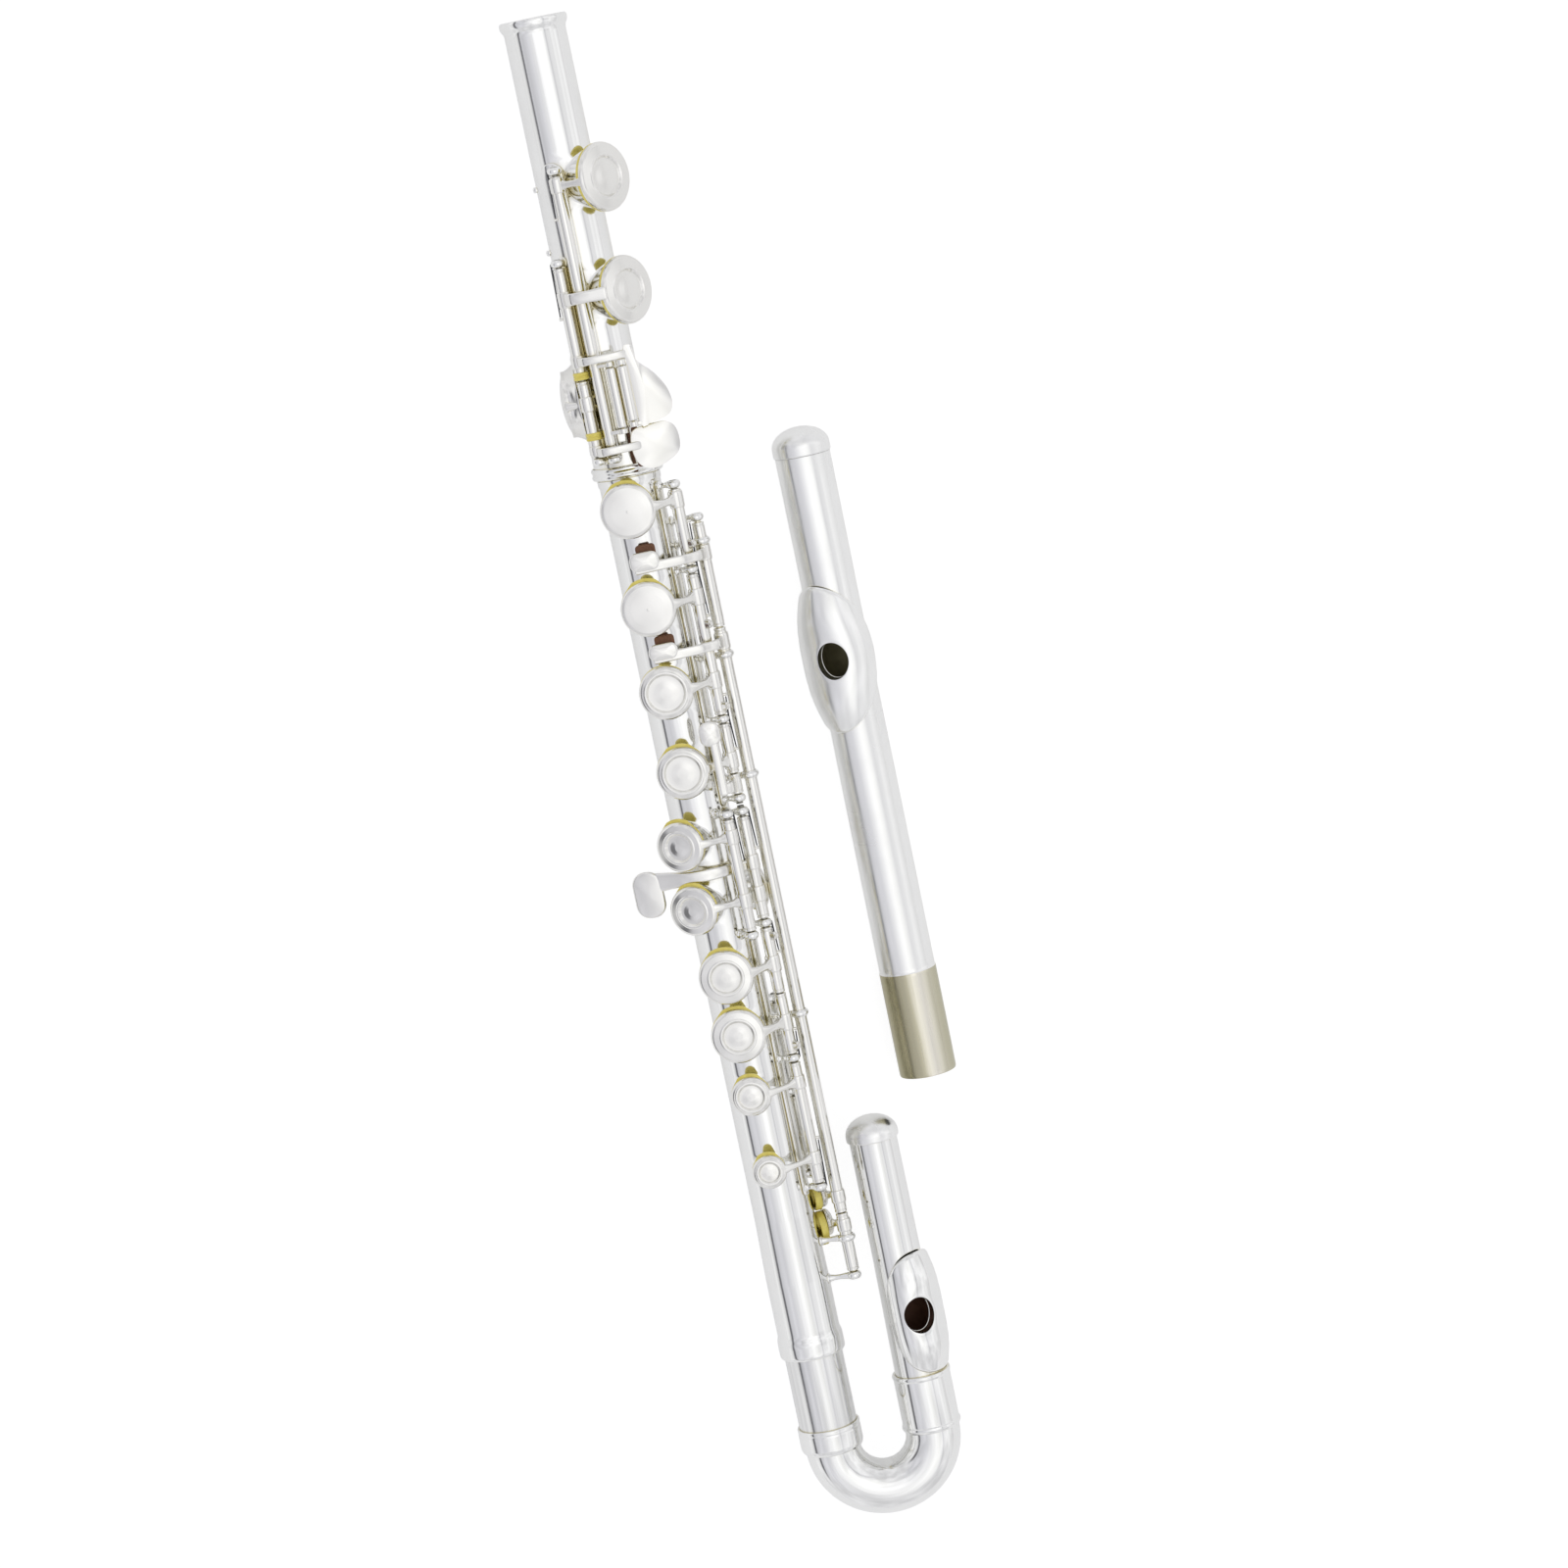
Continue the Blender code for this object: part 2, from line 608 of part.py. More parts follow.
def make_thumb_keys(parent, silver, skin):
    rest = THUMB_REST[1] - 0.8
    parts = [
        cup("thumb"),
        cup_arm("thumb", THUMB_AXIS),
        touch(359.6, -2.0, -rest, 15.2, 12.0, 4.0, 1.6),
        lever([(10.6, -11.4), (8.0, -14.6), (3.0, -rest)], 1.6, 354.0, 4.0),
    ]
    span = (328.0, 356.4)
    key("thumb_key", parts, THUMB_AXIS, [span], ["thumb"], silver, parent, 0.0)
    pads(["thumb"], THUMB_AXIS, sum(span) / 2, skin, parent, 0.0)
    parts = [
        touch(375.6, -2.0, -rest, 15.0, 12.0, 4.0, 1.6),
        lever([(10.6, -11.4), (8.0, -14.6), (3.0, -rest)], 1.6, 376.0, 5.0),
    ]
    key("thumb_bflat_lever", parts, THUMB_AXIS, [(360.0, 385.0)], [], silver, parent, 0.0)


def make_trill_keys(parent, silver, skin):
    strap = [(18.6, 5.7), (17.9, 10.0), (13.6, 13.0), (8.0, 14.2), (4.0, 14.8), (-3.6, 14.8)]
    parts = [
        lever(strap, 1.5, 205.4, 3.4),
        touch(204.0, -0.4, 15.0, 6.2, 9.6, 2.6, 1.5),
        cup("d_trill"),
        cup_arm("d_trill", TRILL_AXIS, 3.0, 1.8),
    ]
    span = (201.0, 398.0)
    key("d_trill_key", parts, TRILL_AXIS, [span], ["d_trill"], silver, parent, 0.0)
    pads(["d_trill"], TRILL_AXIS, sum(span) / 2, skin, parent, 0.0)

    parts = [
        rod(at(163.4, *TRILL_AXIS), at(421.0, *TRILL_AXIS), STEEL_R, 8),
        rod(at(166.4, *TRILL_AXIS), at(200.6, *TRILL_AXIS), HINGE_R),
        rod(at(398.4, *TRILL_AXIS), at(418.0, *TRILL_AXIS), HINGE_R),
        lever(strap, 1.5, 176.2, 3.4),
        touch(175.0, -0.4, 15.0, 6.4, 9.6, 2.6, 1.5),
        cup("dsharp_trill"),
        cup_arm("dsharp_trill", TRILL_AXIS, 3.0, 1.8),
    ]
    made = fused("dsharp_trill_key", parts, [recess("dsharp_trill")])
    finish(made, "dsharp_trill_key", silver, parent, (293.0, *TRILL_AXIS))
    pads(["dsharp_trill"], TRILL_AXIS, 293.0, skin, parent, 0.0)


def make_foot(parent, silver, keys, steel, skin):
    ring = [(143.4, SOCKET_R + 0.3), (FOOT_LENGTH, SOCKET_R + 0.3)]
    outer = [
        (143.4, SOCKET_R + 0.6), (144.4, SOCKET_R + 1.1), (146.2, SOCKET_R + 1.1),
        (FOOT_LENGTH, SOCKET_R + 0.6),
    ]
    finish(hollow_tube(outer, ring), "foot_socket_ring", silver, parent)

    outer = [
        (0.0, BEAD_R - 0.5), (0.5, BEAD_R), (2.0, BEAD_R), (3.2, BEAD_R - 0.7), (4.4, TUBE_R),
        (123.0, TUBE_R), (125.0, SOCKET_R), (FOOT_LENGTH, SOCKET_R),
    ]
    inner = [(0.0, BORE_R), (124.4, BORE_R), (125.4, SOCKET_BORE_R), (FOOT_LENGTH, SOCKET_BORE_R)]
    walls, bores = chimneys(FOOT_HOLES)
    for axis in (C_AXIS, CSHARP_AXIS):
        walls += post(140.4, axis, SOCKET_R - 0.3)
    tube = fused("foot_tube", [stock(outer)] + walls, [stock(past_ends(inner))] + bores)
    finish(tube, "foot_tube", silver, parent)

    posts = [rib(45.4, 112.0, -23, 7.6)]
    for s in (48.0, 76.6):
        posts += post(s, C_AXIS if s < 60 else CSHARP_AXIS, RIB_R + 0.5)
    finish(fused("foot_rib", posts), "foot_rib", silver, parent)
    for name, axis, start, end in (
        ("low_c_steel", C_AXIS, 47.0, 141.4),
        ("low_csharp_steel", CSHARP_AXIS, 75.6, 141.4),
    ):
        finish(rod(at(start, *axis), at(end, *axis), STEEL_R, 8), name, steel, parent)

    parts = [cup("low_c"), cup_arm("low_c", C_AXIS, 3.0)]
    parts += roller_frame([(-2.4, 14.6), (0.0, 15.1), C_ROLLER], C_ROLLER, (110.5, 132.1))
    key("low_c_key", parts, C_AXIS, [(49.8, 138.6)], ["low_c"], keys, parent, -OPEN_FOOT)
    pads(["low_c"], C_AXIS, 94.2, skin, parent, -OPEN_FOOT)

    reach = [(-7.6, 12.6), (-6.4, 16.2), (-3.0, 17.4), (5.8, 16.9)]
    over = [(-7.6, 12.6), (-6.4, 16.2), (-3.0, 17.2), (4.0, 16.2), (9.6, 13.6)]
    parts = [
        cup("low_csharp"),
        lever(reach, 1.6, 88.2, 3.8),
        lever(over, 1.5, 108.2, 2.6),
        shaped_touch(CSHARP_TOUCH, (119.4, 13.6, 12.8), 1.6, 14.0),
    ]
    parts += roller_frame([(9.6, 14.0), CSHARP_ROLLER], CSHARP_ROLLER, (110.5, 130.5))
    key("low_csharp_key", parts, CSHARP_AXIS, [(78.2, 114.0)], ["low_csharp"], keys, parent, -OPEN_FOOT)
    pads(["low_csharp"], CSHARP_AXIS, 96.1, skin, parent, -OPEN_FOOT)

    over = [(-7.6, 12.6), (-6.4, 16.2), (-3.0, 17.0), (4.0, 16.0), (9.6, 14.4)]
    parts = [
        cup("low_dsharp"),
        cup_arm("low_dsharp", CSHARP_AXIS, 3.4),
        lever(over, 1.6, 137.4, 2.6),
        shaped_touch(DSHARP_TOUCH, (138.0, 9.8, 14.6), 1.6, 8.0),
    ]
    key("low_dsharp_key", parts, CSHARP_AXIS, [(114.4, 138.6)], ["low_dsharp"], keys, parent, 0.0)
    pads(["low_dsharp"], CSHARP_AXIS, 126.5, skin, parent, 0.0)

    for name, (t, z), start, end, axis, middle in (
        ("low_c_roller", C_ROLLER, 111.6, 131.0, C_AXIS, 94.2),
        ("low_csharp_roller", CSHARP_ROLLER, 111.6, 129.4, CSHARP_AXIS, 96.1),
    ):
        bore, length = ROLLER_PIN_R + 0.3, end - start
        profile = [
            (bore, 0), (ROLLER_R - 0.3, 0), (ROLLER_R, -0.3), (ROLLER_R, 0.3 - length),
            (ROLLER_R - 0.3, -length), (bore, -length),
        ]
        drum = turned(profile, at(start, t, z), AXLE, 12)
        finish(drum, name, keys, parent, (middle, *axis), -OPEN_FOOT, ((start + end) / 2, t, z))


def roller_frame(path, centre, stations):
    """Two cheeks on the key with the roller's pin between them."""
    pieces = [rod(at(stations[0], *centre), at(stations[1], *centre), ROLLER_PIN_R, 8)]
    for s in stations:
        pieces.append(lever(path, 1.3, s, 1.4))
        pieces.append(rod(at(s - 0.8, *centre), at(s + 0.8, *centre), 1.5, 10))
    return pieces


def lip_sheet(length, half_turn, base_r, rise):
    """The lip plate: an oval sheet wrapped round the tube. A square grid is mapped onto an
    oval, one way along the tube and the other round it, and the sheet rises from its
    edges to its flat middle by a cosine hump."""
    bpy.ops.mesh.primitive_grid_add(x_subdivisions=10, y_subdivisions=10, size=2.0)
    sheet = bpy.context.object
    for vert in sheet.data.vertices:
        x, y = vert.co.x, vert.co.y
        u = x * math.sqrt(1 - y * y / 2)
        v = y * math.sqrt(1 - x * x / 2)
        fall = min(1.0, max(0.0, math.hypot(u, v) - 0.45) / 0.55)
        hump = math.cos(math.pi / 2 * fall)
        radius = base_r + rise * hump
        turn = v * math.radians(half_turn)
        vert.co = Vector((u * length / 2, -radius * math.sin(turn), radius * math.cos(turn))) * MM
    shell = sheet.modifiers.new("sheet metal", "SOLIDIFY")
    shell.thickness = 0.9 * MM
    shell.offset = 1.0
    return tidied(evaluated(sheet))


def embouchure(name, tube_r, hole_s, roll, axis_t, look, parent, plate, rise=3.0):
    """The lip plate and its riser as one soldered piece, with the blow hole cut through. The
    plate is given as its length, its half turn, and how far its middle lies from the hole."""
    length, half_turn, away, turn = plate
    sheet = lip_sheet(length, half_turn, tube_r + 0.46, rise)
    sheet.data.transform(Matrix.Translation(at(away, 0, 0)) @ Matrix.Rotation(math.radians(turn), 4, "X"))
    riser = rod(Vector((0, 0, tube_r - 1)) * MM, Vector((0, 0, tube_r + rise + 0.72)) * MM, 6.9, 16)
    for vert in riser.data.vertices:
        if vert.co.z > tube_r * MM:
            vert.co.z = math.sqrt(vert.co.z**2 - vert.co.y**2)
    riser.matrix_world = Matrix.Diagonal((1.1, 1.0, 1.0, 1.0))
    clear = rod(Vector((-40, 0, 0)) * MM, Vector((40, 0, 0)) * MM, tube_r + 0.3, TUBE_STEPS)
    hole = blow_hole(tube_r)
    made = fused(name, [sheet, riser], [clear, hole])
    place = Matrix.Translation(at(hole_s, axis_t, 0)) @ Matrix.Rotation(math.radians(roll), 4, "X")
    made.data.transform(place)
    return finish(made, name, look, parent)


def blow_hole(tube_r):
    """The oval cutter of the blow hole: 12.6 mm along the tube and 10.6 mm across."""
    hole = rod(Vector((0, 0, tube_r - 4)) * MM, Vector((0, 0, tube_r + 9)) * MM, 5.3, 16)
    hole.matrix_world = Matrix.Diagonal((1.19, 1.0, 1.0, 1.0))
    return evaluated(hole)


def head_tube(name, outer, wall, hole_s, roll, axis_t, look, parent, tube_r):
    """A head joint's tube with the blow hole cut through its wall."""
    inner = [(s, r - wall) for s, r in outer]
    tube = hollow_tube(outer, inner)
    tube.data.transform(Matrix.Translation(at(0, axis_t, 0)))
    hole = blow_hole(tube_r)
    place = Matrix.Translation(at(hole_s, axis_t, 0)) @ Matrix.Rotation(math.radians(roll), 4, "X")
    hole.data.transform(place)
    return finish(fused(name, [tube], [hole]), name, look, parent)


def crown(name, top, tube_end, radius, tube_r, axis_t, look, parent):
    """The domed cap that closes the head joint, with the plug that enters the tube."""
    length = tube_end - top
    profile = [
        (0, length), (radius * 0.42, length - 0.6), (radius * 0.74, length - 2.1),
        (radius * 0.93, length - 4.1), (radius, length - 6.2), (radius, 0.7), (radius - 0.25, 0.3),
        (tube_r - 0.9, 0.3), (tube_r - 0.9, -5.0), (STEM_R + 0.3, -5.0), (STEM_R + 0.3, 2.0), (0, 2.0),
    ]
    made = turned(profile, at(tube_end, axis_t, 0), AXLE, TUBE_STEPS)
    return finish(made, name, look, parent, (tube_end, axis_t, 0))


def stopper(name, tip, near, far, radius, axis_t, look, parent):
    """The cork between two plates on its screw stem, whose tip is inside the crown."""
    length = far - near
    profile = [
        (0, far - tip), (STEM_R, far - tip), (STEM_R, length), (radius, length), (radius, length - 1.0),
        (radius - 0.3, length - 1.2), (radius - 0.3, 1.2), (radius, 1.0), (radius, 0), (0, 0),
    ]
    made = turned(profile, at(far, axis_t, 0), AXLE, 14)
    return finish(made, name, look, parent)


def make_curved_head(parent, silver, keys, cork):
    outer = [(HEAD_TENON_END, HEAD_R), (LOWER_END, HEAD_R)]
    inner = [(s, r - HEAD_WALL) for s, r in outer]
    finish(hollow_tube(outer, inner), "head_lower_tube", silver, parent)

    arc = []
    start, end = LOWER_END + 0.9, 461.0
    arc.append((start, 0.0))
    for step in range(13):
        turn = math.pi * step / 12
        arc.append(
            (BEND_START + BEND_RADIUS * math.sin(turn), BEND_RADIUS * (1 - math.cos(turn)))
        )
    arc.append((end, LEG_T))
    curve = bpy.data.curves.new("bend", "CURVE")
    curve.dimensions = "3D"
    curve.bevel_depth = BEND_R * MM
    curve.bevel_resolution = 3
    spline = curve.splines.new("POLY")
    spline.points.add(len(arc) - 1)
    for point, (s, t) in zip(spline.points, arc):
        point.co = (*at(s, t, 0), 1.0)
    path = bpy.data.objects.new("bend", curve)
    bpy.context.scene.collection.objects.link(path)
    pipe = evaluated(path)
    wall = pipe.modifiers.new("wall", "SOLIDIFY")
    wall.thickness = 0.5 * MM
    wall.offset = -1.0
    pipe = tidied(evaluated(pipe))
    near = [
        (468.6, HEAD_R + 0.3), (468.6, HEAD_R + 0.8), (476.2, HEAD_R + 0.8), (477.4, HEAD_R + 0.1),
        (477.4, BEND_R - 0.2), (472.0, BEND_R - 0.2), (472.0, HEAD_R + 0.3),
    ]
    ferrule = turned([(r, -s) for s, r in near], Vector((0, 0, 0)), AXLE, TUBE_STEPS)
    far = [
        (457.2, 9.0), (457.2, 9.8), (459.2, 9.5), (474.6, 9.5), (475.6, 9.9),
        (476.8, 9.3), (476.8, BEND_R - 0.2), (460.4, BEND_R - 0.2), (460.4, 9.0),
    ]
    sleeve = turned([(r, -s) for s, r in far], at(0, LEG_T, 0), AXLE, TUBE_STEPS)
    finish(fused("head_bend", [pipe, ferrule, sleeve]), "head_bend", silver, parent)

    outer = [(UPPER_END, UPPER_R[1]), (CURVED_HOLE - 20, UPPER_R[1] + 0.15), (460.0, UPPER_R[0])]
    head_tube("head_upper_tube", outer, HEAD_WALL, CURVED_HOLE, CURVED_ROLL, LEG_T, silver, parent, 8.2)
    plate = (44.2, 88.0, -1.2, 22.0)
    embouchure("head_lip_plate", 8.55, CURVED_HOLE, CURVED_ROLL, LEG_T, silver, parent, plate)
    crown("head_crown", CURVED_CROWN_TOP, UPPER_END, 8.7, UPPER_R[1], LEG_T, keys, parent)
    stopper("head_stopper", 378.2, 404.0, 421.0, 7.2, LEG_T, cork, parent)


def make_straight_head(parent, silver, keys, bare, cork):
    outer = [
        (SPARE_TUBE_START, 9.0), (SPARE_HOLE - 20, 8.9), (SPARE_HOLE + 40, 9.1), (SPARE_TENON, 9.2),
        (SPARE_TENON + 0.1, SPARE_R), (SPARE_END, SPARE_R),
    ]
    tube = head_tube("spare_head_tube", outer, HEAD_WALL, SPARE_HOLE, SPARE_ROLL, 0, silver, parent, 9.1)
    tube.data.materials.append(bare)
    plate = (48.6, 92.0, 0.0, -22.0)
    embouchure("spare_lip_plate", 9.1, SPARE_HOLE, SPARE_ROLL, 0, silver, parent, plate)
    crown("spare_crown", SPARE_CROWN_TOP, SPARE_TUBE_START, SPARE_R, 9.0, 0, keys, parent)
    stopper("spare_stopper", 153.8, 186.0, 203.6, 8.0, 0, cork, parent)


start_clean()
flute = collection("concert_flute")
SILVER_PLATE = material("silver_plate", SILVER)
KEY_SILVER = material("key_silver", SILVER_KEYS)
PIVOT_STEEL = material("pivot_steel", STEEL)
PAD_SKIN = material("pad_skin", SKIN)
STOPPER_CORK = material("stopper_cork", CORK)
BARE_NICKEL = material("bare_nickel_silver", ((0.66, 0.64, 0.55), 0.3, 1.0))

FLUTE_Z = BEAD_R * math.cos(LEAN)
body_frame = empty("flute_frame", Vector((FOOT_X, FLUTE_Y, FLUTE_Z)) * MM, LEAN)
spare_frame = empty("spare_head_frame", Vector((FOOT_X, SPARE_Y, SPARE_R)) * MM)

make_body(body_frame, SILVER_PLATE, PIVOT_STEEL)
make_right_hand_keys(body_frame, KEY_SILVER, PAD_SKIN)
make_left_hand_keys(body_frame, KEY_SILVER, PAD_SKIN)
make_thumb_keys(body_frame, KEY_SILVER, PAD_SKIN)
make_trill_keys(body_frame, KEY_SILVER, PAD_SKIN)
make_foot(body_frame, SILVER_PLATE, KEY_SILVER, PIVOT_STEEL, PAD_SKIN)
make_curved_head(body_frame, SILVER_PLATE, KEY_SILVER, STOPPER_CORK)
make_straight_head(spare_frame, SILVER_PLATE, KEY_SILVER, BARE_NICKEL, STOPPER_CORK)
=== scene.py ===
# %% [markdown]
# # A concert flute with two head joints
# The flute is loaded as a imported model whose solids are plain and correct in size. Here every solid gets
# its finished surface: drawn tubes with tone holes, turned cups and balls, forged arms, and real finishes.
# All lengths are in millimetres until the last step, because flute makers work in them.

# %% Load the model
import math

import bmesh
import bpy
import numpy as np
from mathutils import Matrix, Vector


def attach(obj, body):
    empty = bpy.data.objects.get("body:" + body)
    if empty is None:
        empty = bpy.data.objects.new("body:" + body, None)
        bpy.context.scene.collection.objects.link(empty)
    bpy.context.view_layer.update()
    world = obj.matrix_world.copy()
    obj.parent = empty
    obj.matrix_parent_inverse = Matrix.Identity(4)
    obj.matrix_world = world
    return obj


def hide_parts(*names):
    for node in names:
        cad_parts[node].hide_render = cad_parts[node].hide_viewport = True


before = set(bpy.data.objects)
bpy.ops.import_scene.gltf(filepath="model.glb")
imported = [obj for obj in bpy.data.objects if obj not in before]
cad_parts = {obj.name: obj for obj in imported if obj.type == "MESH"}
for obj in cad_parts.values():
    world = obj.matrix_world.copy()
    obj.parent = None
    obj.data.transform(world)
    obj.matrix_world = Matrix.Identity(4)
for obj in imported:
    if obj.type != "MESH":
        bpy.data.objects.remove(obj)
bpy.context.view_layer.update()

# %% [markdown]
# ## Two frames of reference
# A flute is laid out along its tube. Here s runs from the foot end towards the head, t runs sideways to
# the hinge rods, and z points up through the key cups. The flute leans a little, because it rests on its
# foot bead and its thumb key. The spare head joint lies level beside it, so it has a frame of its own.

# %% Frames
FOOT_X, FLUTE_Y, BEAD_R = 252.3, 20.3, 10.9
LEAN = math.atan2(5.5, 352.0)
SPARE_Y, SPARE_R = FLUTE_Y - 56.0, 9.4


def flute_world(points):
    """Turns (s, t, z) into x = -s and y = -t, leans them about Y, and adds the flute's place, in metres."""
    s, t, z = points.T
    x = z * math.sin(LEAN) - s * math.cos(LEAN) + FOOT_X
    up = z * math.cos(LEAN) + s * math.sin(LEAN) + BEAD_R * math.cos(LEAN)
    return np.stack([x, FLUTE_Y - t, up], axis=1) * 0.001


def spare_world(points):
    """The same for the spare head joint, which lies level: only the shift is added."""
    s, t, z = points.T
    return np.stack([FOOT_X - s, SPARE_Y - t, z + SPARE_R], axis=1) * 0.001


def swung(points, axis, degrees):
    """Turns points about a hinge at (t, z): t' = t cos a + z sin a and z' = z cos a - t sin a."""
    a = math.radians(degrees)
    t, z = points[:, 1] - axis[0], points[:, 2] - axis[1]
    turned_t = t * math.cos(a) + z * math.sin(a)
    turned_z = z * math.cos(a) - t * math.sin(a)
    return np.stack([points[:, 0], turned_t + axis[0], turned_z + axis[1]], axis=1)


print("lean in degrees", round(math.degrees(LEAN), 3))

# %% [markdown]
# ## Surfaces from grids
# Every surface below is a grid of points, rows by columns. One helper joins neighbouring rows with
# quads, and closes the grid round a ring where it is asked to. That keeps all shapes in whole-array numpy.

# %% Grid helpers
def grid_faces(rows, columns, wrap_rows=False, wrap_columns=True, first=0):
    """Quads between each row and the next and each column and the next, by index arithmetic."""
    i = np.arange(rows if wrap_rows else rows - 1)[:, None]
    j = np.arange(columns if wrap_columns else columns - 1)[None, :]
    up, right = (i + 1) % rows, (j + 1) % columns
    quads = np.stack([i * columns + j, up * columns + j, up * columns + right, i * columns + right], axis=2)
    return (quads.reshape(-1, 4) + first).tolist()


def surface(rows, wrap_rows=False):
    """A surface from rows of ring points, with flat caps on an open first and last row."""
    count, columns = rows.shape[:2]
    faces = grid_faces(count, columns, wrap_rows)
    if not wrap_rows:
        faces.append(list(range(columns)))
        faces.append(list(range((count - 1) * columns, count * columns))[::-1])
    return rows.reshape(-1, 3), faces


def unit(vector):
    """The vector divided by its length."""
    return np.asarray(vector, float) / np.linalg.norm(vector)


def across_from(direction):
    """Two unit vectors square to a direction and to each other, from cross products."""
    helper = np.array([0.0, 0.0, 1.0]) if abs(direction[2]) < 0.9 else np.array([1.0, 0.0, 0.0])
    u = unit(np.cross(helper, direction))
    return u, np.cross(direction, u)


print("a grid of 3 by 4 has", len(grid_faces(3, 4)), "quads")

# %% [markdown]
# ## Soft corners
# No machined edge is perfectly sharp, and on polished silver the small round of an edge is what catches
# the light. Each profile corner is therefore replaced by a short curve before it is turned.

# %% Soften a profile
def softened(profile, size=0.12, closed=False):
    """Each corner v becomes the curve (1-q)^2 a + 2q(1-q) v + q^2 b, where a and b lie a small size
    before and after it, or at most 0.45 of the way to the neighbouring corner."""
    p = np.asarray(profile, float)
    before, after = np.roll(p, 1, axis=0) - p, np.roll(p, -1, axis=0) - p
    length_b = np.maximum(np.linalg.norm(before, axis=1, keepdims=True), 1e-9)
    length_a = np.maximum(np.linalg.norm(after, axis=1, keepdims=True), 1e-9)
    a = p + before / length_b * np.minimum(size, 0.45 * length_b)
    b = p + after / length_a * np.minimum(size, 0.45 * length_a)
    q = np.array([0.0, 0.35, 0.65, 1.0])[None, :, None]
    curves = (1 - q) ** 2 * a[:, None] + 2 * q * (1 - q) * p[:, None] + q**2 * b[:, None]
    if closed:
        return curves.reshape(-1, 2)
    return np.concatenate([p[:1], curves[1:-1].reshape(-1, 2), p[-1:]])


print("a square profile softens to", len(softened([(0, 0), (1, 0), (1, 1), (0, 1)], closed=True)), "points")

# %% [markdown]
# ## Turned work
# Cups, balls, pads, crowns and tubes are all turned on a lathe in the workshop. A profile of radius and
# height is carried round an axis, which a single array expression does for every point at once.

# %% Lathe
def turned(profile, centre, direction, steps=48, soften=0.12):
    """Points centre + h direction + r (u cos a + v sin a) for each profile pair (r, h) and angle a. A
    profile that starts and ends off the axis is a closed ring; one that touches the axis gets a cap."""
    ring = profile[0][0] > 0 and profile[-1][0] > 0
    p = softened(profile, soften, closed=ring)
    if not ring:
        p[:, 0] = np.maximum(p[:, 0], 0.02)
    direction = unit(direction)
    u, v = across_from(direction)
    a = np.linspace(0, 2 * math.pi, steps, endpoint=False)
    wheel = np.cos(a)[:, None] * u + np.sin(a)[:, None] * v
    rows = np.asarray(centre, float) + p[:, 1, None, None] * direction + p[:, 0, None, None] * wheel
    return surface(rows, wrap_rows=ring)


def rod(start, end, radius, steps=24, soften=0.15):
    """A turned bar between two points, with its end edges softened."""
    start, end = np.asarray(start, float), np.asarray(end, float)
    length = np.linalg.norm(end - start)
    return turned([(0, 0), (radius, 0), (radius, length), (0, length)], start, end - start, steps, soften)


def along_tube(profile, axis=(0.0, 0.0), steps=96, soften=0.12):
    """Turned work on an axis along s: the profile is (s, radius) pairs."""
    pairs = [(radius, s) for s, radius in profile]
    return turned(pairs, (0.0, axis[0], axis[1]), (1, 0, 0), steps, soften)


print("a turned pin has", len(rod((0, 0, 0), (5, 0, 0), 1)[0]), "points")

# %% [markdown]
# ## Forged arms and straps
# Arms are forged and filed: an oval section that swells and tapers along a bent path. Each row of the
# grid is a superellipse set square to the path, and the two end rows shrink to round the tips.

# %% Sweep
def swept(path, widths, depths, side=(1, 0, 0), columns=20, power=2.6):
    """Row i is path[i] + (w/2) cx side + (d/2) cz n, where cx and cz are a superellipse's cosine and sine
    raised to 2 over the power, and n is square to both the path and the side."""
    path, side = np.asarray(path, float), unit(side)
    tangent = np.gradient(path, axis=0)
    tangent /= np.linalg.norm(tangent, axis=1, keepdims=True)
    normal = np.cross(tangent, side)
    normal /= np.linalg.norm(normal, axis=1, keepdims=True)
    w = np.interp(np.linspace(0, 1, len(path)), np.linspace(0, 1, len(widths)), widths)
    d = np.interp(np.linspace(0, 1, len(path)), np.linspace(0, 1, len(depths)), depths)
    cap = np.radians([20, 50, 75])
    shrink = np.concatenate([np.sin(cap), np.ones(len(path)), np.sin(cap)[::-1]])
    out = np.concatenate([-np.cos(cap) * d[0] / 2, np.zeros(len(path)), np.cos(cap)[::-1] * d[-1] / 2])
    pick = np.concatenate([[0] * 3, np.arange(len(path)), [len(path) - 1] * 3])
    a = np.linspace(0, 2 * math.pi, columns, endpoint=False)
    cx = np.sign(np.cos(a)) * np.abs(np.cos(a)) ** (2 / power)
    cz = np.sign(np.sin(a)) * np.abs(np.sin(a)) ** (2 / power)
    rows = path[pick] + tangent[pick] * out[:, None]
    rows = rows[:, None] + side * (w[pick] * shrink / 2)[:, None, None] * cx[None, :, None]
    rows = rows + normal[pick][:, None] * (d[pick] * shrink / 2)[:, None, None] * cz[None, :, None]
    return surface(rows)


def curve_through(points, steps=24):
    """A smooth path near a few points. Chaikin's rule cuts every corner at a quarter and three quarters of
    its legs, three times over, and the result is then cut into even steps."""
    p = np.asarray(points, float)
    for _ in range(3):
        near, far = p[:-1] * 0.75 + p[1:] * 0.25, p[:-1] * 0.25 + p[1:] * 0.75
        p = np.concatenate([p[:1], np.stack([near, far], axis=1).reshape(-1, p.shape[1]), p[-1:]])
    walked = np.concatenate([[0], np.cumsum(np.linalg.norm(np.diff(p, axis=0), axis=1))])
    at = np.linspace(0, walked[-1], steps)
    return np.stack([np.interp(at, walked, p[:, k]) for k in range(p.shape[1])], axis=1)


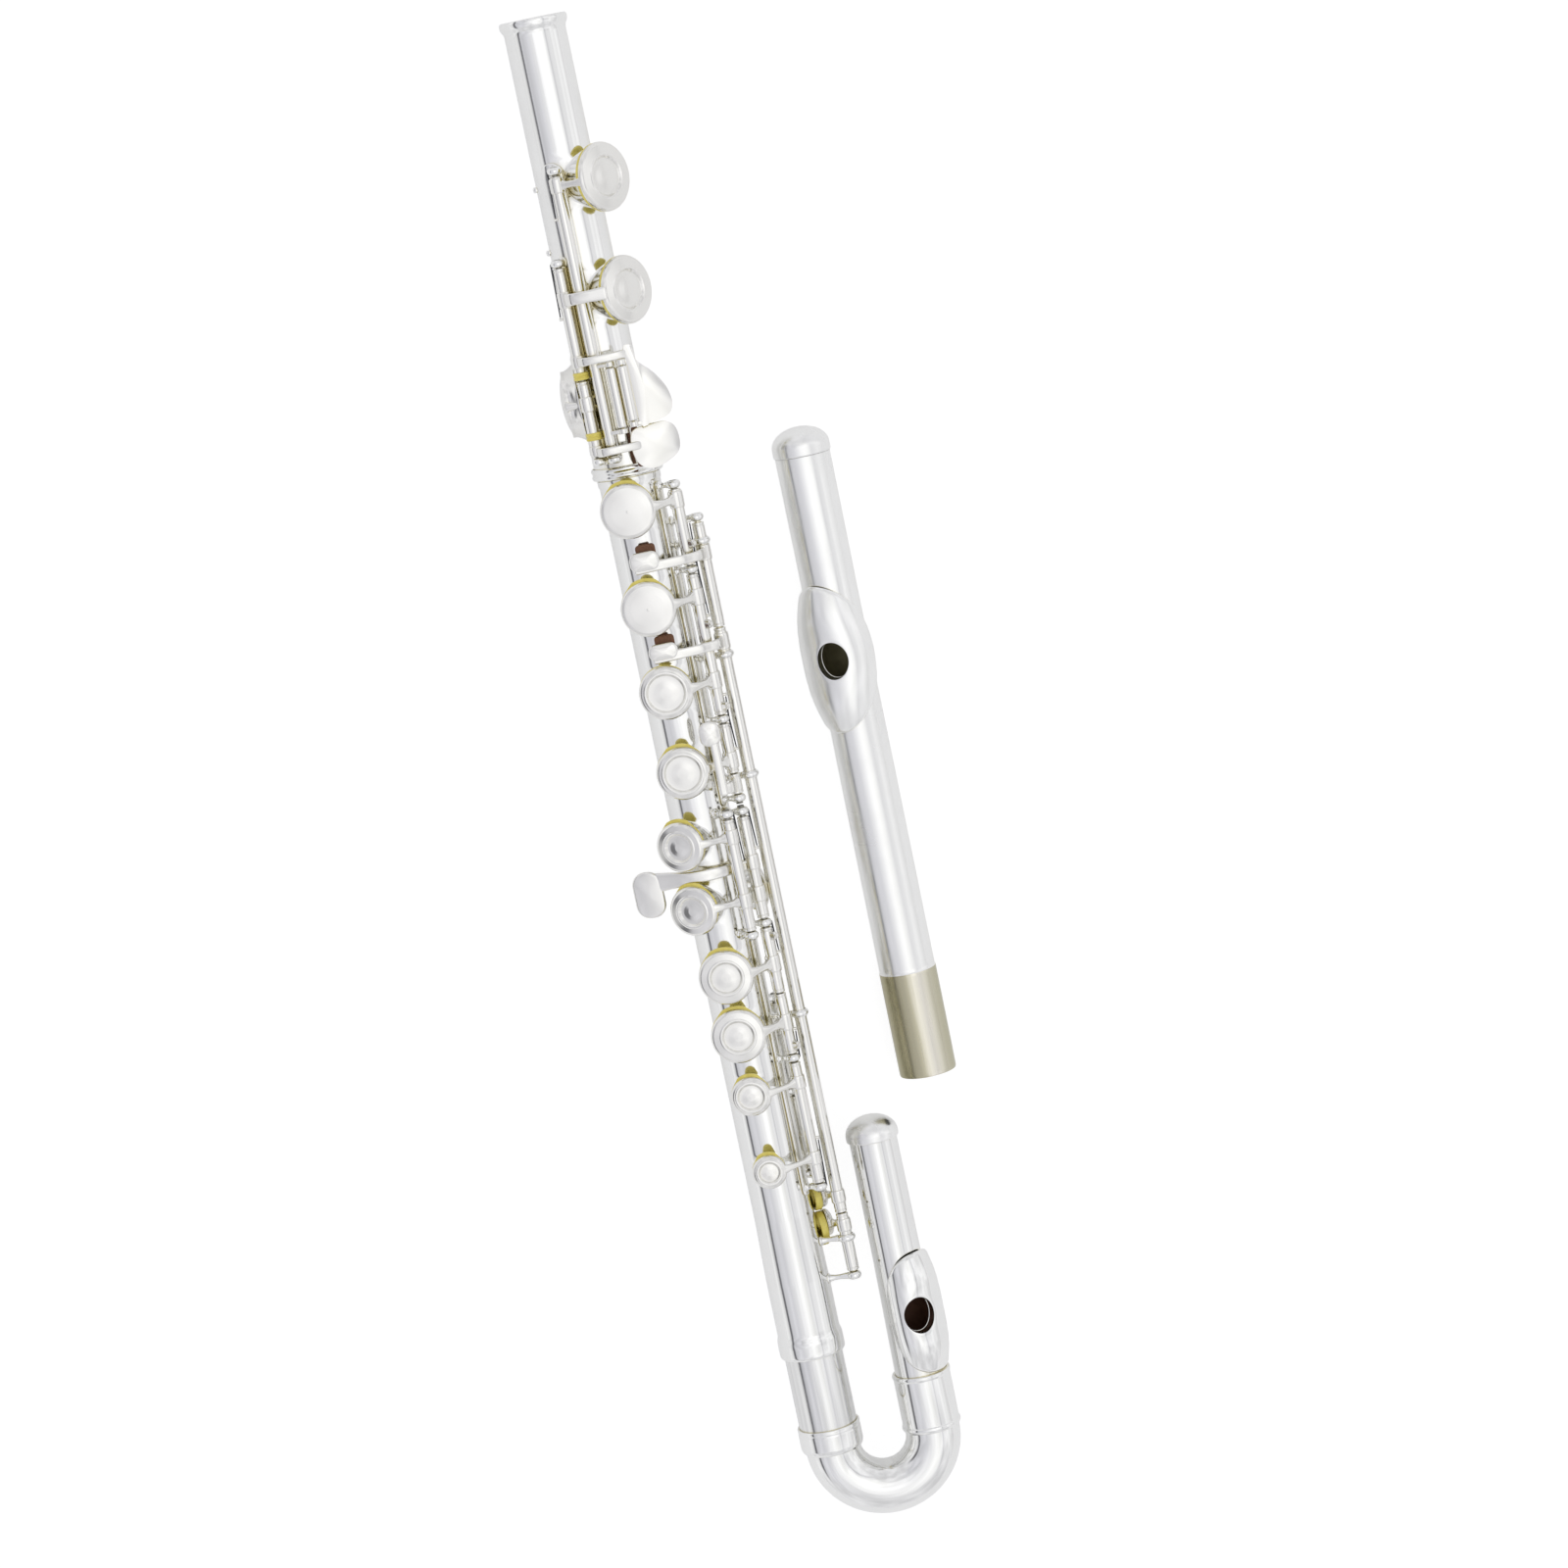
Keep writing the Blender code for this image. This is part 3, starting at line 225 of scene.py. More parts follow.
def strap(path_tz, s, width, thickness, steps=28):
    """A strap bent over the mechanism, seen from the end: (t, z) points at one station."""
    path = curve_through([(s, t, z) for t, z in path_tz], steps)
    widths = width if isinstance(width, (list, tuple)) else [width, width]
    return swept(path, widths, [thickness, thickness], power=4.0, columns=24)


print("a smooth path keeps its ends:", curve_through([(0, 0, 0), (1, 1, 0), (2, 0, 0)])[[0, -1]].tolist())

# %% [markdown]
# ## Finger plates
# A touch piece is a plate with a soft rim and a very slightly domed top, so that the finger finds it. It
# is built from its outline: the loop shrinks inwards over the top, rounds the rim, and closes underneath.

# %% Plate
INSET_SHARES = np.array([0.9, 0.7, 0.45, 0.2, 0.02])  # of the way out from the middle, over a plate's top


def round_rectangle(length, width, corner, steps=10):
    """Four quarter circles, joined: the centre of each corner plus the corner radius at each angle."""
    a = np.linspace(0, math.pi / 2, steps)[None, :] + np.arange(4)[:, None] * math.pi / 2
    signs = np.array([(1, 1), (-1, 1), (-1, -1), (1, -1)], float)
    centre = signs * [length / 2 - corner, width / 2 - corner]
    return (centre[:, None] + corner * np.stack([np.cos(a), np.sin(a)], axis=2)).reshape(-1, 2)


def plate(outline, thickness, centre, tilt=0.0, dome=0.25, wrap_radius=None):
    """Loops of the outline, moved inwards along its own normals by an inset and set at a height: up the
    rim in a half circle, then over a top of height dome (1 - q^2). A wrap radius bends it round the tube."""
    p = np.asarray(outline, float)
    edge = np.roll(p, -1, axis=0) - np.roll(p, 1, axis=0)
    inward = np.stack([-edge[:, 1], edge[:, 0]], axis=1)
    inward /= np.linalg.norm(inward, axis=1, keepdims=True)
    r = min(thickness / 2, 0.75)
    a = np.radians([-90, -60, -30, 0, 30, 60, 90])
    insets = r - r * np.cos(a)
    heights = np.sign(a) * (thickness / 2 - r) + r * np.sin(a)
    loops = p + inward * insets[:, None, None]
    q, middle = INSET_SHARES, p.mean(axis=0)
    top = middle + (loops[-1] - middle) * q[:, None, None]
    loops = np.concatenate([middle + (loops[:1] - middle) * 0.02, loops, top])
    heights = np.concatenate([heights[:1], heights, thickness / 2 + dome * (1 - q**2)])
    x, y = loops[:, :, 0], loops[:, :, 1]
    h = np.broadcast_to(heights[:, None], x.shape)
    s0, t0, z0 = centre
    if wrap_radius:
        angle, reach = math.radians(tilt) + y / wrap_radius, wrap_radius + h
        rows = np.stack([s0 + x, reach * np.sin(angle), reach * np.cos(angle)], axis=2)
    else:
        c, n = math.cos(math.radians(tilt)), math.sin(math.radians(tilt))
        rows = np.stack([s0 + x, t0 + y * c + h * n, z0 - y * n + h * c], axis=2)
    return surface(rows)


print("a plate's outline has", len(round_rectangle(10, 6, 2)), "points")

# %% [markdown]
# ## Tubes with tone holes
# On a drawn flute tube each tone hole is pulled up out of the wall, so the metal runs in one sheet from
# the tube up the chimney, over a rolled rim and down inside. A boolean would leave a hard seam. Here a
# rectangle of grid cells round each hole is left out, and a patch with the same edge points takes its
# place, so the surface stays whole and its reflections run smoothly.

# %% Drilled tube
CHIMNEY_WALL, MARGIN, FLARE = 0.8, 0.9, 0.7  # a chimney's wall, the plain tube round it and its foot


def drilled_tube(outer, bore, holes, step=1.3, columns=84):
    """outer and bore are (s, radius) outlines. Each hole is (s, angle, half length, half width, rim), and
    rim is the chimney's top above the axis, or None for a plain hole through the wall."""
    outer, bore = np.asarray(outer, float), np.asarray(bore, float)
    start, end = outer[0, 0], outer[-1, 0]
    lines = np.linspace(start, end, int((end - start) / step) + 1)
    corners = np.concatenate([outer[:, 0], np.clip(bore[:, 0], start, end)])
    lines = np.unique(np.round(np.concatenate([lines, corners]), 3))
    angles = np.linspace(0, 360, columns, endpoint=False)
    kept = np.ones((len(lines) - 1, columns), bool)
    walls, patches = [], []
    for outline in (outer, bore):
        radius = np.interp(lines, outline[:, 0], outline[:, 1])
        walls.append(ring_points(lines[:, None], radius[:, None], np.radians(angles)[None, :]))
    for s0, turn, half_s, half_t, rim in holes:
        chimney = CHIMNEY_WALL if rim else 0.0
        radius = np.interp(s0, outer[:, 0], outer[:, 1])
        reach = math.degrees(math.asin(min(0.985, (half_t + chimney + MARGIN) / radius)))
        away = (angles - turn + 180) % 360 - 180
        inside = np.abs(away) <= reach
        order = np.argsort(away[inside])
        across = np.flatnonzero(inside)[order]
        low = np.searchsorted(lines, s0 - half_s - chimney - MARGIN) - 1
        high = np.searchsorted(lines, s0 + half_s + chimney + MARGIN)
        kept[low:high, across[:-1]] = False
        loop = [(low, j) for j in across] + [(i, across[-1]) for i in range(low + 1, high)]
        loop += [(high, j) for j in across[::-1]] + [(i, across[0]) for i in range(high - 1, low, -1)]
        loop = np.array(loop)
        patches.append(hole_patch(lines, outer, bore, loop, s0, turn, half_s, half_t, rim, walls))
    quads = np.array(grid_faces(len(lines), columns)).reshape(-1, 4)[kept.ravel()]
    count = len(lines) * columns
    points = [walls[0].reshape(-1, 3), walls[1].reshape(-1, 3)]
    faces = quads.tolist() + (quads[:, ::-1] + count).tolist()
    for row in (0, len(lines) - 1):
        a = np.arange(columns) + row * columns
        b = np.roll(a, -1)
        faces += np.stack([a, b, b + count, a + count], axis=1).tolist()
    first = 2 * count
    for patch in patches:
        faces += grid_faces(*patch.shape[:2], first=first)
        points.append(patch.reshape(-1, 3))
        first += patch.shape[0] * patch.shape[1]
    return np.concatenate(points), faces


def ring_points(s, radius, angle):
    """(s, r sin a, r cos a): the tube's surface, with the angle from the top towards the rods."""
    return np.stack(np.broadcast_arrays(s, radius * np.sin(angle), radius * np.cos(angle)), axis=-1)


def hole_patch(lines, outer, bore, loop, s0, turn, half_s, half_t, rim, walls):
    """Rows from the loop of left-out cells on the outside, up and over the chimney, to the same loop on
    the inside. In the hole's own frame x runs along s, y across it and h outwards, and a point on a tube
    of radius R lies at h = root(R^2 - y^2)."""
    a = math.radians(turn)
    out, side = np.array([math.sin(a), math.cos(a)]), np.array([math.cos(a), -math.sin(a)])
    edge_out, edge_in = walls[0][loop[:, 0], loop[:, 1]], walls[1][loop[:, 0], loop[:, 1]]
    x, y = edge_out[:, 0] - s0, edge_out[:, 1:] @ side
    spin = np.arctan2(y / half_t, x / half_s)
    cx, cy = np.cos(spin), np.sin(spin)

    def on_tube(outline, px, py):
        r = np.interp(s0 + px, outline[:, 0], outline[:, 1])
        return np.sqrt(np.maximum(r**2 - py**2, 0.05))

    wall = CHIMNEY_WALL if rim else 0.0
    rows = []
    for share in (0.0, 0.5, 1.0):
        px = x * (1 - share) + (half_s + wall + FLARE) * cx * share
        py = y * (1 - share) + (half_t + wall + FLARE) * cy * share
        rows.append((px, py, on_tube(outer, px, py)))
    wx, wy = (half_s + wall) * cx, (half_t + wall) * cy
    if rim:
        foot = on_tube(outer, wx, wy)
        lift = np.minimum(1.0, 0.5 * (rim - foot))
        for q in (0.35, 0.7, 1.0):
            grow = FLARE * (1 - q) ** 2
            px, py = wx + grow * cx, wy + grow * cy
            rows.append((px, py, on_tube(outer, px, py) * (1 - q) + (foot + lift * q) * q))
        bead = [(0.0, 0.55), (0.14, 0.42), (0.14, 0.2), (0.0, 0.04), (-0.3, 0.0), (-0.62, 0.06), (-0.8, 0.3)]
        for more, drop in bead:
            rows.append((wx + more * cx, wy + more * cy, np.full(len(wx), rim - drop)))
    else:
        rows.append((wx + 0.15 * cx, wy + 0.15 * cy, on_tube(outer, wx, wy)))
        rows.append((wx, wy, on_tube(outer, wx, wy) - 0.12))
    ix, iy = half_s * cx, half_t * cy
    rows.append((ix, iy, on_tube(bore, ix, iy)))
    inner_y = edge_in[:, 1:] @ side
    for share in (0.5, 1.0):
        px, py = ix * (1 - share) + x * share, iy * (1 - share) + inner_y * share
        rows.append((px, py, on_tube(bore, px, py)))
    px, py, h = (np.array([row[k] for row in rows]) for k in range(3))
    tz = py[..., None] * side + h[..., None] * out
    patch = np.concatenate([(s0 + px)[..., None], tz], axis=2)
    patch[0], patch[-1] = edge_out, edge_in
    return patch


print("a chimney's wall is", CHIMNEY_WALL, "mm")

# %% [markdown]
# ## From surfaces to objects
# A finished piece is one mesh of one or more closed surfaces. It takes its place in the world inside its
# own points, so the object itself stays at the origin. Normals are turned outwards once, then shading is
# smooth except over edges sharper than 40 degrees. Points closer than 4 thousandths of a millimetre, as at
# the middle of a turned face, are merged first.

# %% Make a piece
MERGED, SHARP = 0.000004, math.radians(40)


def piece(name, surfaces, look, body, stands_for=(), hinge=None, swing=0.0, world=flute_world, more=()):
    """Joins the surfaces, swings them about their hinge to the key's rest, and sets them in the world. Each
    further finish goes on the faces whose middles, in millimetres, its own test picks out."""
    points, faces, first = [], [], 0
    for some_points, some_faces in surfaces:
        points.append(some_points)
        faces += [[index + first for index in face] for face in some_faces]
        first += len(some_points)
    points = np.concatenate(points)
    if hinge is not None and swing:
        points = swung(points, hinge, swing)
    mesh = bpy.data.meshes.new(name)
    mesh.from_pydata(world(points).tolist(), [], faces)
    mesh.materials.append(look)
    middles = np.array([points[face].mean(axis=0) for face in faces]) if more else None
    index = np.zeros(len(faces), np.int32)
    for number, (finish, test) in enumerate(more):
        mesh.materials.append(finish)
        index[test(middles)] = number + 1
    mesh.polygons.foreach_set("material_index", index)
    work = bmesh.new()
    work.from_mesh(mesh)
    bmesh.ops.remove_doubles(work, verts=work.verts, dist=MERGED)
    bmesh.ops.recalc_face_normals(work, faces=work.faces)
    work.to_mesh(mesh)
    work.free()
    mesh.shade_smooth()
    mesh.set_sharp_from_angle(angle=SHARP)
    thing = bpy.data.objects.new(name, mesh)
    bpy.context.scene.collection.objects.link(thing)
    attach(thing, body)
    if stands_for:
        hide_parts(*stands_for)
    print(f"{name}: {len(mesh.polygons)} faces")
    return thing


print("shading breaks over", round(math.degrees(SHARP)), "degrees")

# %% [markdown]
# ## One way to add a node
# Every material is a small network of nodes. One function adds a node, sets its values by socket name and
# links what comes from other nodes, so each material below reads as a recipe.

# %% Node and colour helpers
def srgb(code):
    """Turns an sRGB hex value into linear light: c / 12.92 below 0.04045, else ((c + 0.055) / 1.055)^2.4."""
    values = np.array([int(code[i : i + 2], 16) for i in (1, 3, 5)]) / 255
    linear = np.where(values <= 0.04045, values / 12.92, ((values + 0.055) / 1.055) ** 2.4)
    return (*linear.tolist(), 1.0)


def add_node(tree, kind, settings=(), inputs=()):
    """A node with its settings, and its inputs set to a value or linked from another node's output."""
    node = tree.nodes.new(kind)
    for key, value in dict(settings).items():
        setattr(node, key, value)
    for key, value in dict(inputs).items():
        if isinstance(value, bpy.types.NodeSocket):
            tree.links.new(value, node.inputs[key])
        else:
            node.inputs[key].default_value = value
    return node


def new_look(name, metallic, roughness, color):
    """A material with one Principled shader, set to a plain finish that the nodes then vary."""
    look = bpy.data.materials.new(name)
    look.use_nodes = True
    shader = look.node_tree.nodes["Principled BSDF"]
    shader.inputs["Base Color"].default_value = srgb(color)
    shader.inputs["Metallic"].default_value = metallic
    shader.inputs["Roughness"].default_value = roughness
    return look, look.node_tree, shader


print("white is", srgb("#FFFFFF")[:3])
# %% [markdown]
# ## Silver plate
# The tubes are nickel silver with a bright plate of silver, buffed on a wheel. Silver reflects nearly all
# light with hardly any tint. Buffing leaves very fine lines round the tube and handling leaves faint smears,
# so the roughness varies slowly: a noise Scale of 60 gives smears about 17 mm long, and a stretch of 2600
# gives lines 0.4 mm apart, as coarse as they must be to show. Where a cloth can't reach, in the corners
# between posts and tubes, silver tarnishes to a warm yellow, and the darker tint there is painted shade too.
# The head joint's tenon slides in its barrel, which draws darker streaks 1 mm apart along it. Crowns and the
# spare head joint are handled the most, so their shine is softer. A metal keeps the shader's own IOR.

# %% Silver plate
def shade_of(code, share):
    """The same hex colour, each channel times a share."""
    return "#" + "".join(f"{int(int(code[i : i + 2], 16) * share):02X}" for i in (1, 3, 5))


def silver(name, color, roughness, haze, line_depth, stretch=(2600.0, 260.0, 260.0), streaks=0.035):
    """Roughness = plain + haze * slow noise. Bump comes from stretched fine noise, and so do strong darker
    streaks. Corners are given a warm tarnish and painted shade, darker by their occlusion over 4 mm."""
    look, tree, shader = new_look(name, 1.0, roughness, color)
    place = add_node(tree, "ShaderNodeTexCoord").outputs["Object"]
    smear = add_node(tree, "ShaderNodeTexNoise", {}, {"Vector": place, "Scale": 60.0, "Detail": 3.0})
    rough = add_node(tree, "ShaderNodeMapRange", {}, {
        "Value": smear.outputs["Fac"], "From Min": 0.3, "From Max": 0.75,
        "To Min": roughness, "To Max": roughness + haze,
    })
    tree.links.new(rough.outputs["Result"], shader.inputs["Roughness"])
    stretched = add_node(tree, "ShaderNodeMapping", {}, {"Vector": place, "Scale": stretch})
    lines = add_node(tree, "ShaderNodeTexNoise", {}, {
        "Vector": stretched.outputs["Vector"], "Scale": 1.0, "Detail": 2.0,
    })
    pattern = lines if streaks > 0.1 else smear
    tone = add_node(tree, "ShaderNodeMix", {"data_type": "RGBA"}, {
        "Factor": pattern.outputs["Fac"], "A": srgb(color), "B": srgb(shade_of(color, 1 - streaks)),
    })
    # Occlusion over 4 mm mixes in a darker warm yellow: tarnish, and painted shade in the corners.
    corner = add_node(tree, "ShaderNodeAmbientOcclusion", {"samples": 4}, {"Distance": 0.004})
    tarnish_and_painted_shade = add_node(tree, "ShaderNodeMapRange", {}, {
        "Value": corner.outputs["AO"], "From Min": 0.15, "From Max": 0.75, "To Min": 0.8, "To Max": 0.0,
    })
    tarnished_and_painted_shade_tone = add_node(tree, "ShaderNodeMix", {"data_type": "RGBA"}, {
        "Factor": tarnish_and_painted_shade.outputs["Result"], "A": tone.outputs["Result"], "B": srgb("#D2C68E"),
    })
    tree.links.new(tarnished_and_painted_shade_tone.outputs["Result"], shader.inputs["Base Color"])
    bump = add_node(tree, "ShaderNodeBump", {}, {
        "Height": lines.outputs["Fac"], "Strength": line_depth, "Distance": 0.00002,
    })
    tree.links.new(bump.outputs["Normal"], shader.inputs["Normal"])
    return look


silver_tube = silver("buffed_silver_plate", "#F7F7F5", 0.07, 0.06, 0.08)
silver_keys = silver("hand_polished_silver_plate", "#F3F2EE", 0.11, 0.08, 0.10)
silver_tenon = silver("slid_silver_plate", "#F7F7F5", 0.1, 0.08, 0.3, (18.0, 900.0, 900.0), 0.13)
silver_crown = silver("handled_silver_plate", "#FAFAF8", 0.18, 0.12, 0.15)
print("four silver finishes")

# %% [markdown]
# ## Bare nickel silver
# The tenon of the spare head joint is left bare, because plate would spoil its fit. Nickel silver is a
# copper alloy, so it is greyer and yellower than silver. It is turned, which leaves rings 0.3 mm apart, and
# sliding in its socket dulls it with lengthwise scuffs 1 mm apart. Its colour carries a painted highlight, a
# lighter stripe along the top, and painted shade on the darker sides; the ramp follows the place across the
# tube.

# %% Nickel silver
nickel, tree, shader = new_look("turned_nickel_silver", 1.0, 0.25, "#D9D3C0")
place = add_node(tree, "ShaderNodeTexCoord").outputs["Object"]
rings_at = add_node(tree, "ShaderNodeMapping", {}, {"Vector": place, "Scale": (3200.0, 90.0, 90.0)})
rings = add_node(tree, "ShaderNodeTexNoise", {}, {"Vector": rings_at.outputs["Vector"], "Scale": 1.0})
scuffs_at = add_node(tree, "ShaderNodeMapping", {}, {"Vector": place, "Scale": (40.0, 900.0, 900.0)})
scuffs = add_node(tree, "ShaderNodeTexNoise", {}, {
    "Vector": scuffs_at.outputs["Vector"], "Scale": 1.0, "Detail": 4.0,
})
dull = add_node(tree, "ShaderNodeMapRange", {}, {
    "Value": scuffs.outputs["Fac"], "From Min": 0.3, "From Max": 0.7, "To Min": 0.17, "To Max": 0.3,
})
tree.links.new(dull.outputs["Result"], shader.inputs["Roughness"])
# Painted highlight and painted shade: the base colour is lighter along the top and darker on the sides,
# across world Y.
across = add_node(tree, "ShaderNodeSeparateXYZ", {}, {"Vector": place}).outputs["Y"]
share = add_node(tree, "ShaderNodeMapRange", {}, {
    "Value": across, "From Min": -0.0451, "From Max": -0.0263,
})
scuffs_and_painted_highlight = add_node(tree, "ShaderNodeMath", {"operation": "MULTIPLY_ADD"}, {
    0: scuffs.outputs["Fac"], 1: 0.1, 2: share.outputs["Result"],
})
painted_highlight_ramp = add_node(tree, "ShaderNodeValToRGB", {}, {"Fac": scuffs_and_painted_highlight.outputs["Value"]})
PAINTED_HIGHLIGHT_SHADES = (
    (0.08, "#BDB99F"), (0.24, "#D3CFBC"), (0.4, "#EDE9DD"), (0.5, "#E4E0D2"), (0.62, "#C6C1A8"),
    (0.85, "#B4AE8F"),
)
for number, (where, code) in enumerate(PAINTED_HIGHLIGHT_SHADES):
    stop = painted_highlight_ramp.color_ramp.elements[0] if number == 0 else painted_highlight_ramp.color_ramp.elements.new(where)
    stop.position, stop.color = where, srgb(code)
painted_highlight_ramp.color_ramp.elements.remove(painted_highlight_ramp.color_ramp.elements[-1])
tree.links.new(painted_highlight_ramp.outputs["Color"], shader.inputs["Base Color"])
bump = add_node(tree, "ShaderNodeBump", {}, {
    "Height": rings.outputs["Fac"], "Strength": 0.3, "Distance": 0.00003,
})
tree.links.new(bump.outputs["Normal"], shader.inputs["Normal"])
print("nickel silver with", len(PAINTED_HIGHLIGHT_SHADES), "shades across it")

# %% [markdown]
# ## Finishes in two shades
# The small finishes differ in what mixes their two shades. Cork is made of cells, drawn 0.9 mm wide. Felt
# under the trill keys is dark brown wool, with fibres drawn 0.4 mm wide. Springs are needle steel, blued by
# heat in patches of about 7 mm. Inside the head joints, breath leaves a dull brown film on the metal, and a
# paler one where the joint has only been stored, in clouds of 3 mm. One recipe serves them all.

# %% Cork, felt, blued steel and dulled bores
NOISE, CELLS = ("ShaderNodeTexNoise", "Fac"), ("ShaderNodeTexVoronoi", "Distance")


def two_tone(name, metallic, roughness, shades, pattern, sizes, relief=None):
    """Shade = first + (second - first) * pattern. Where there is relief, given as the strength and depth of
    a bump, the same pattern raises the surface."""
    look, tree, shader = new_look(name, metallic, roughness, shades[0])
    place = add_node(tree, "ShaderNodeTexCoord").outputs["Object"]
    kind, output = pattern
    share = add_node(tree, kind, {}, {"Vector": place, **sizes}).outputs[output]
    tone = add_node(tree, "ShaderNodeMix", {"data_type": "RGBA"}, {
        "Factor": share, "A": srgb(shades[0]), "B": srgb(shades[1]),
    })
    tree.links.new(tone.outputs["Result"], shader.inputs["Base Color"])
    if relief:
        strength, depth = relief
        bump = add_node(tree, "ShaderNodeBump", {}, {
            "Height": share, "Strength": strength, "Distance": depth,
        })
        tree.links.new(bump.outputs["Normal"], shader.inputs["Normal"])
    return look


CLOUDS, FIBRES = {"Scale": 300.0, "Detail": 3.0}, {"Scale": 2500.0, "Detail": 3.0}
bore_film = two_tone("breath_dulled_bore", 0.35, 0.55, ("#4E3024", "#85604A"), NOISE, CLOUDS)
old_film = two_tone("stored_bore", 0.35, 0.55, ("#6E674A", "#A59D78"), NOISE, CLOUDS)
cork = two_tone("bare_cork", 0.0, 0.85, ("#6F4A2A", "#B98A58"), CELLS, {"Scale": 1100.0}, (0.6, 0.0001))
bumper = two_tone("dark_felt", 0.0, 0.95, ("#4A2E20", "#8C664E"), NOISE, FIBRES, (0.8, 0.0001))
blued = two_tone("blued_needle_steel", 1.0, 0.25, ("#2E3440", "#5C5A58"), NOISE, {"Scale": 150.0})
print("five finishes in two shades")

# %% [markdown]
# ## Pad skin and drawn steel
# A pad is a felt disc under a thin yellow skin, a gut membrane that is shiny, mottled over 2 mm and creased
# at the rim, so it gets a coat and fine cells 1.1 mm wide for its creases. The pivots are drawn steel, dark
# beside silver, with draw lines 0.4 mm apart along them.

# %% Skin and steel
skin = two_tone("yellow_pad_skin", 0.0, 0.38, ("#F8EA7E", "#CDBA44"), NOISE, {"Scale": 420.0, "Detail": 4.0})
tree, shader = skin.node_tree, skin.node_tree.nodes["Principled BSDF"]
shader.inputs["Coat Weight"].default_value = 0.35
shader.inputs["Coat Roughness"].default_value = 0.25
place = add_node(tree, "ShaderNodeTexCoord").outputs["Object"]
creases = add_node(tree, "ShaderNodeTexVoronoi", {}, {"Vector": place, "Scale": 900.0})
bump = add_node(tree, "ShaderNodeBump", {}, {
    "Height": creases.outputs["Distance"], "Strength": 0.25, "Distance": 0.00006,
})
tree.links.new(bump.outputs["Normal"], shader.inputs["Normal"])

steel, tree, shader = new_look("drawn_steel", 1.0, 0.28, "#9A9890")
place = add_node(tree, "ShaderNodeTexCoord").outputs["Object"]
draw_at = add_node(tree, "ShaderNodeMapping", {}, {"Vector": place, "Scale": (120.0, 2500.0, 2500.0)})
draw = add_node(tree, "ShaderNodeTexNoise", {}, {"Vector": draw_at.outputs["Vector"], "Scale": 1.0})
bump = add_node(tree, "ShaderNodeBump", {}, {
    "Height": draw.outputs["Fac"], "Strength": 0.25, "Distance": 0.00002,
})
tree.links.new(bump.outputs["Normal"], shader.inputs["Normal"])
print("skin coat", skin.node_tree.nodes["Principled BSDF"].inputs["Coat Weight"].default_value)

# %% [markdown]

# %% [markdown]
# ## The body and the foot joint
# The tone holes grow towards the foot, as the scale needs. The hinge rods lie on the player's side. The holes
# are turned a little away from them to make room, and the offset G pair is turned further that way, where
# the left ring finger falls. A cup, its pad and its arm are all placed by the station and angle of its hole.

# %% Tone holes, cups and hinges
TUBE_R, BORE_R, RIM_R = 9.9, 9.5, 11.9
HOLES = {  # station, angle round the tube, hole radius
    "d": (157.3, -13, 6.7), "e": (189.2, -13, 6.7), "f": (216.7, -13, 6.5), "fsharp": (243.2, -13, 6.4),
    "g_low": (266.9, -34, 6.0), "g_high": (288.2, -34, 6.0), "gsharp": (287.7, 116, 6.1),
    "a": (311.3, -13, 6.5), "bflat": (331.0, -13, 6.5), "thumb": (336.0, 180, 6.3), "c": (351.4, -13, 4.2),
    "csharp": (377.2, -10, 3.4), "d_trill": (392.6, 105, 2.6), "dsharp_trill": (402.4, 105, 2.6),
}
FOOT_HOLES = {"low_c": (52.8, 54, 7.9), "low_csharp": (88.8, 54, 7.9), "low_dsharp": (121.5, -90, 7.6)}
ALL_HOLES = HOLES | FOOT_HOLES
CUPS = {  # radius, and how far out the ring round the dished middle lies, or 0 for a plain top
    "d": (8.9, 0), "e": (8.9, 0), "f": (8.7, 0.74), "fsharp": (8.6, 0.72), "g_low": (8.2, 0.6),
    "g_high": (8.2, 0.6), "gsharp": (8.2, 0.6), "a": (8.9, 0.6), "bflat": (8.9, 0.6), "thumb": (8.5, 0.6),
    "c": (6.5, 0.7), "csharp": (5.6, 0.66), "d_trill": (4.5, 0), "dsharp_trill": (4.5, 0),
    "low_c": (11.0, 0.6), "low_csharp": (10.9, 0.6), "low_dsharp": (11.5, 0),
}
PAD_PROUD, SEAT = 0.9, 0.3  # how far a pad stands below its cup's hem, and the room above the rim
CUP_BASE = RIM_R + SEAT + PAD_PROUD
MAIN, G_ROD, TRILL, THUMB = (13.5, 8.5), (8.6, 13.8), (18.6, 4.1), (11.5, -10.5)  # (t, z) of each hinge
C_ROD, CSHARP_ROD = (-2.9, 13.4), (-7.9, 11.4)
OPEN_MAIN, OPEN_FOOT = 8.5, -8.0  # degrees from closed at which the open keys rest
HINGE_R, HINGE_BORE, STEEL_R, BALL_R = 2.0, 1.3, 1.0, 2.35
RIB_TOP, SOCKET_R = TUBE_R + 0.9, 10.35  # where posts stand on a rib, and on the barrel and foot socket
RINGED = (HINGE_R + 0.3, HINGE_R + 0.95)  # the bore and radius of a ball that a hinge tube runs through
print(len(ALL_HOLES), "tone holes")


def around(s, angle, radius):
    """The point at this angle and radius round the tube: (s, r sin a, r cos a)."""
    a = math.radians(angle)
    return np.array([s, radius * math.sin(a), radius * math.cos(a)])


def outward(angle):
    """The unit vector that points out of the tube at this angle."""
    return around(0, angle, 1.0)


# %% [markdown]
# ## Posts, balls and ribs
# A post is a small pillar with a drilled ball on top, turned in one piece and silver soldered to a rib.
# Its steel ends in a slotted head, where a screwdriver goes. The rib is a strap bent to the tube.

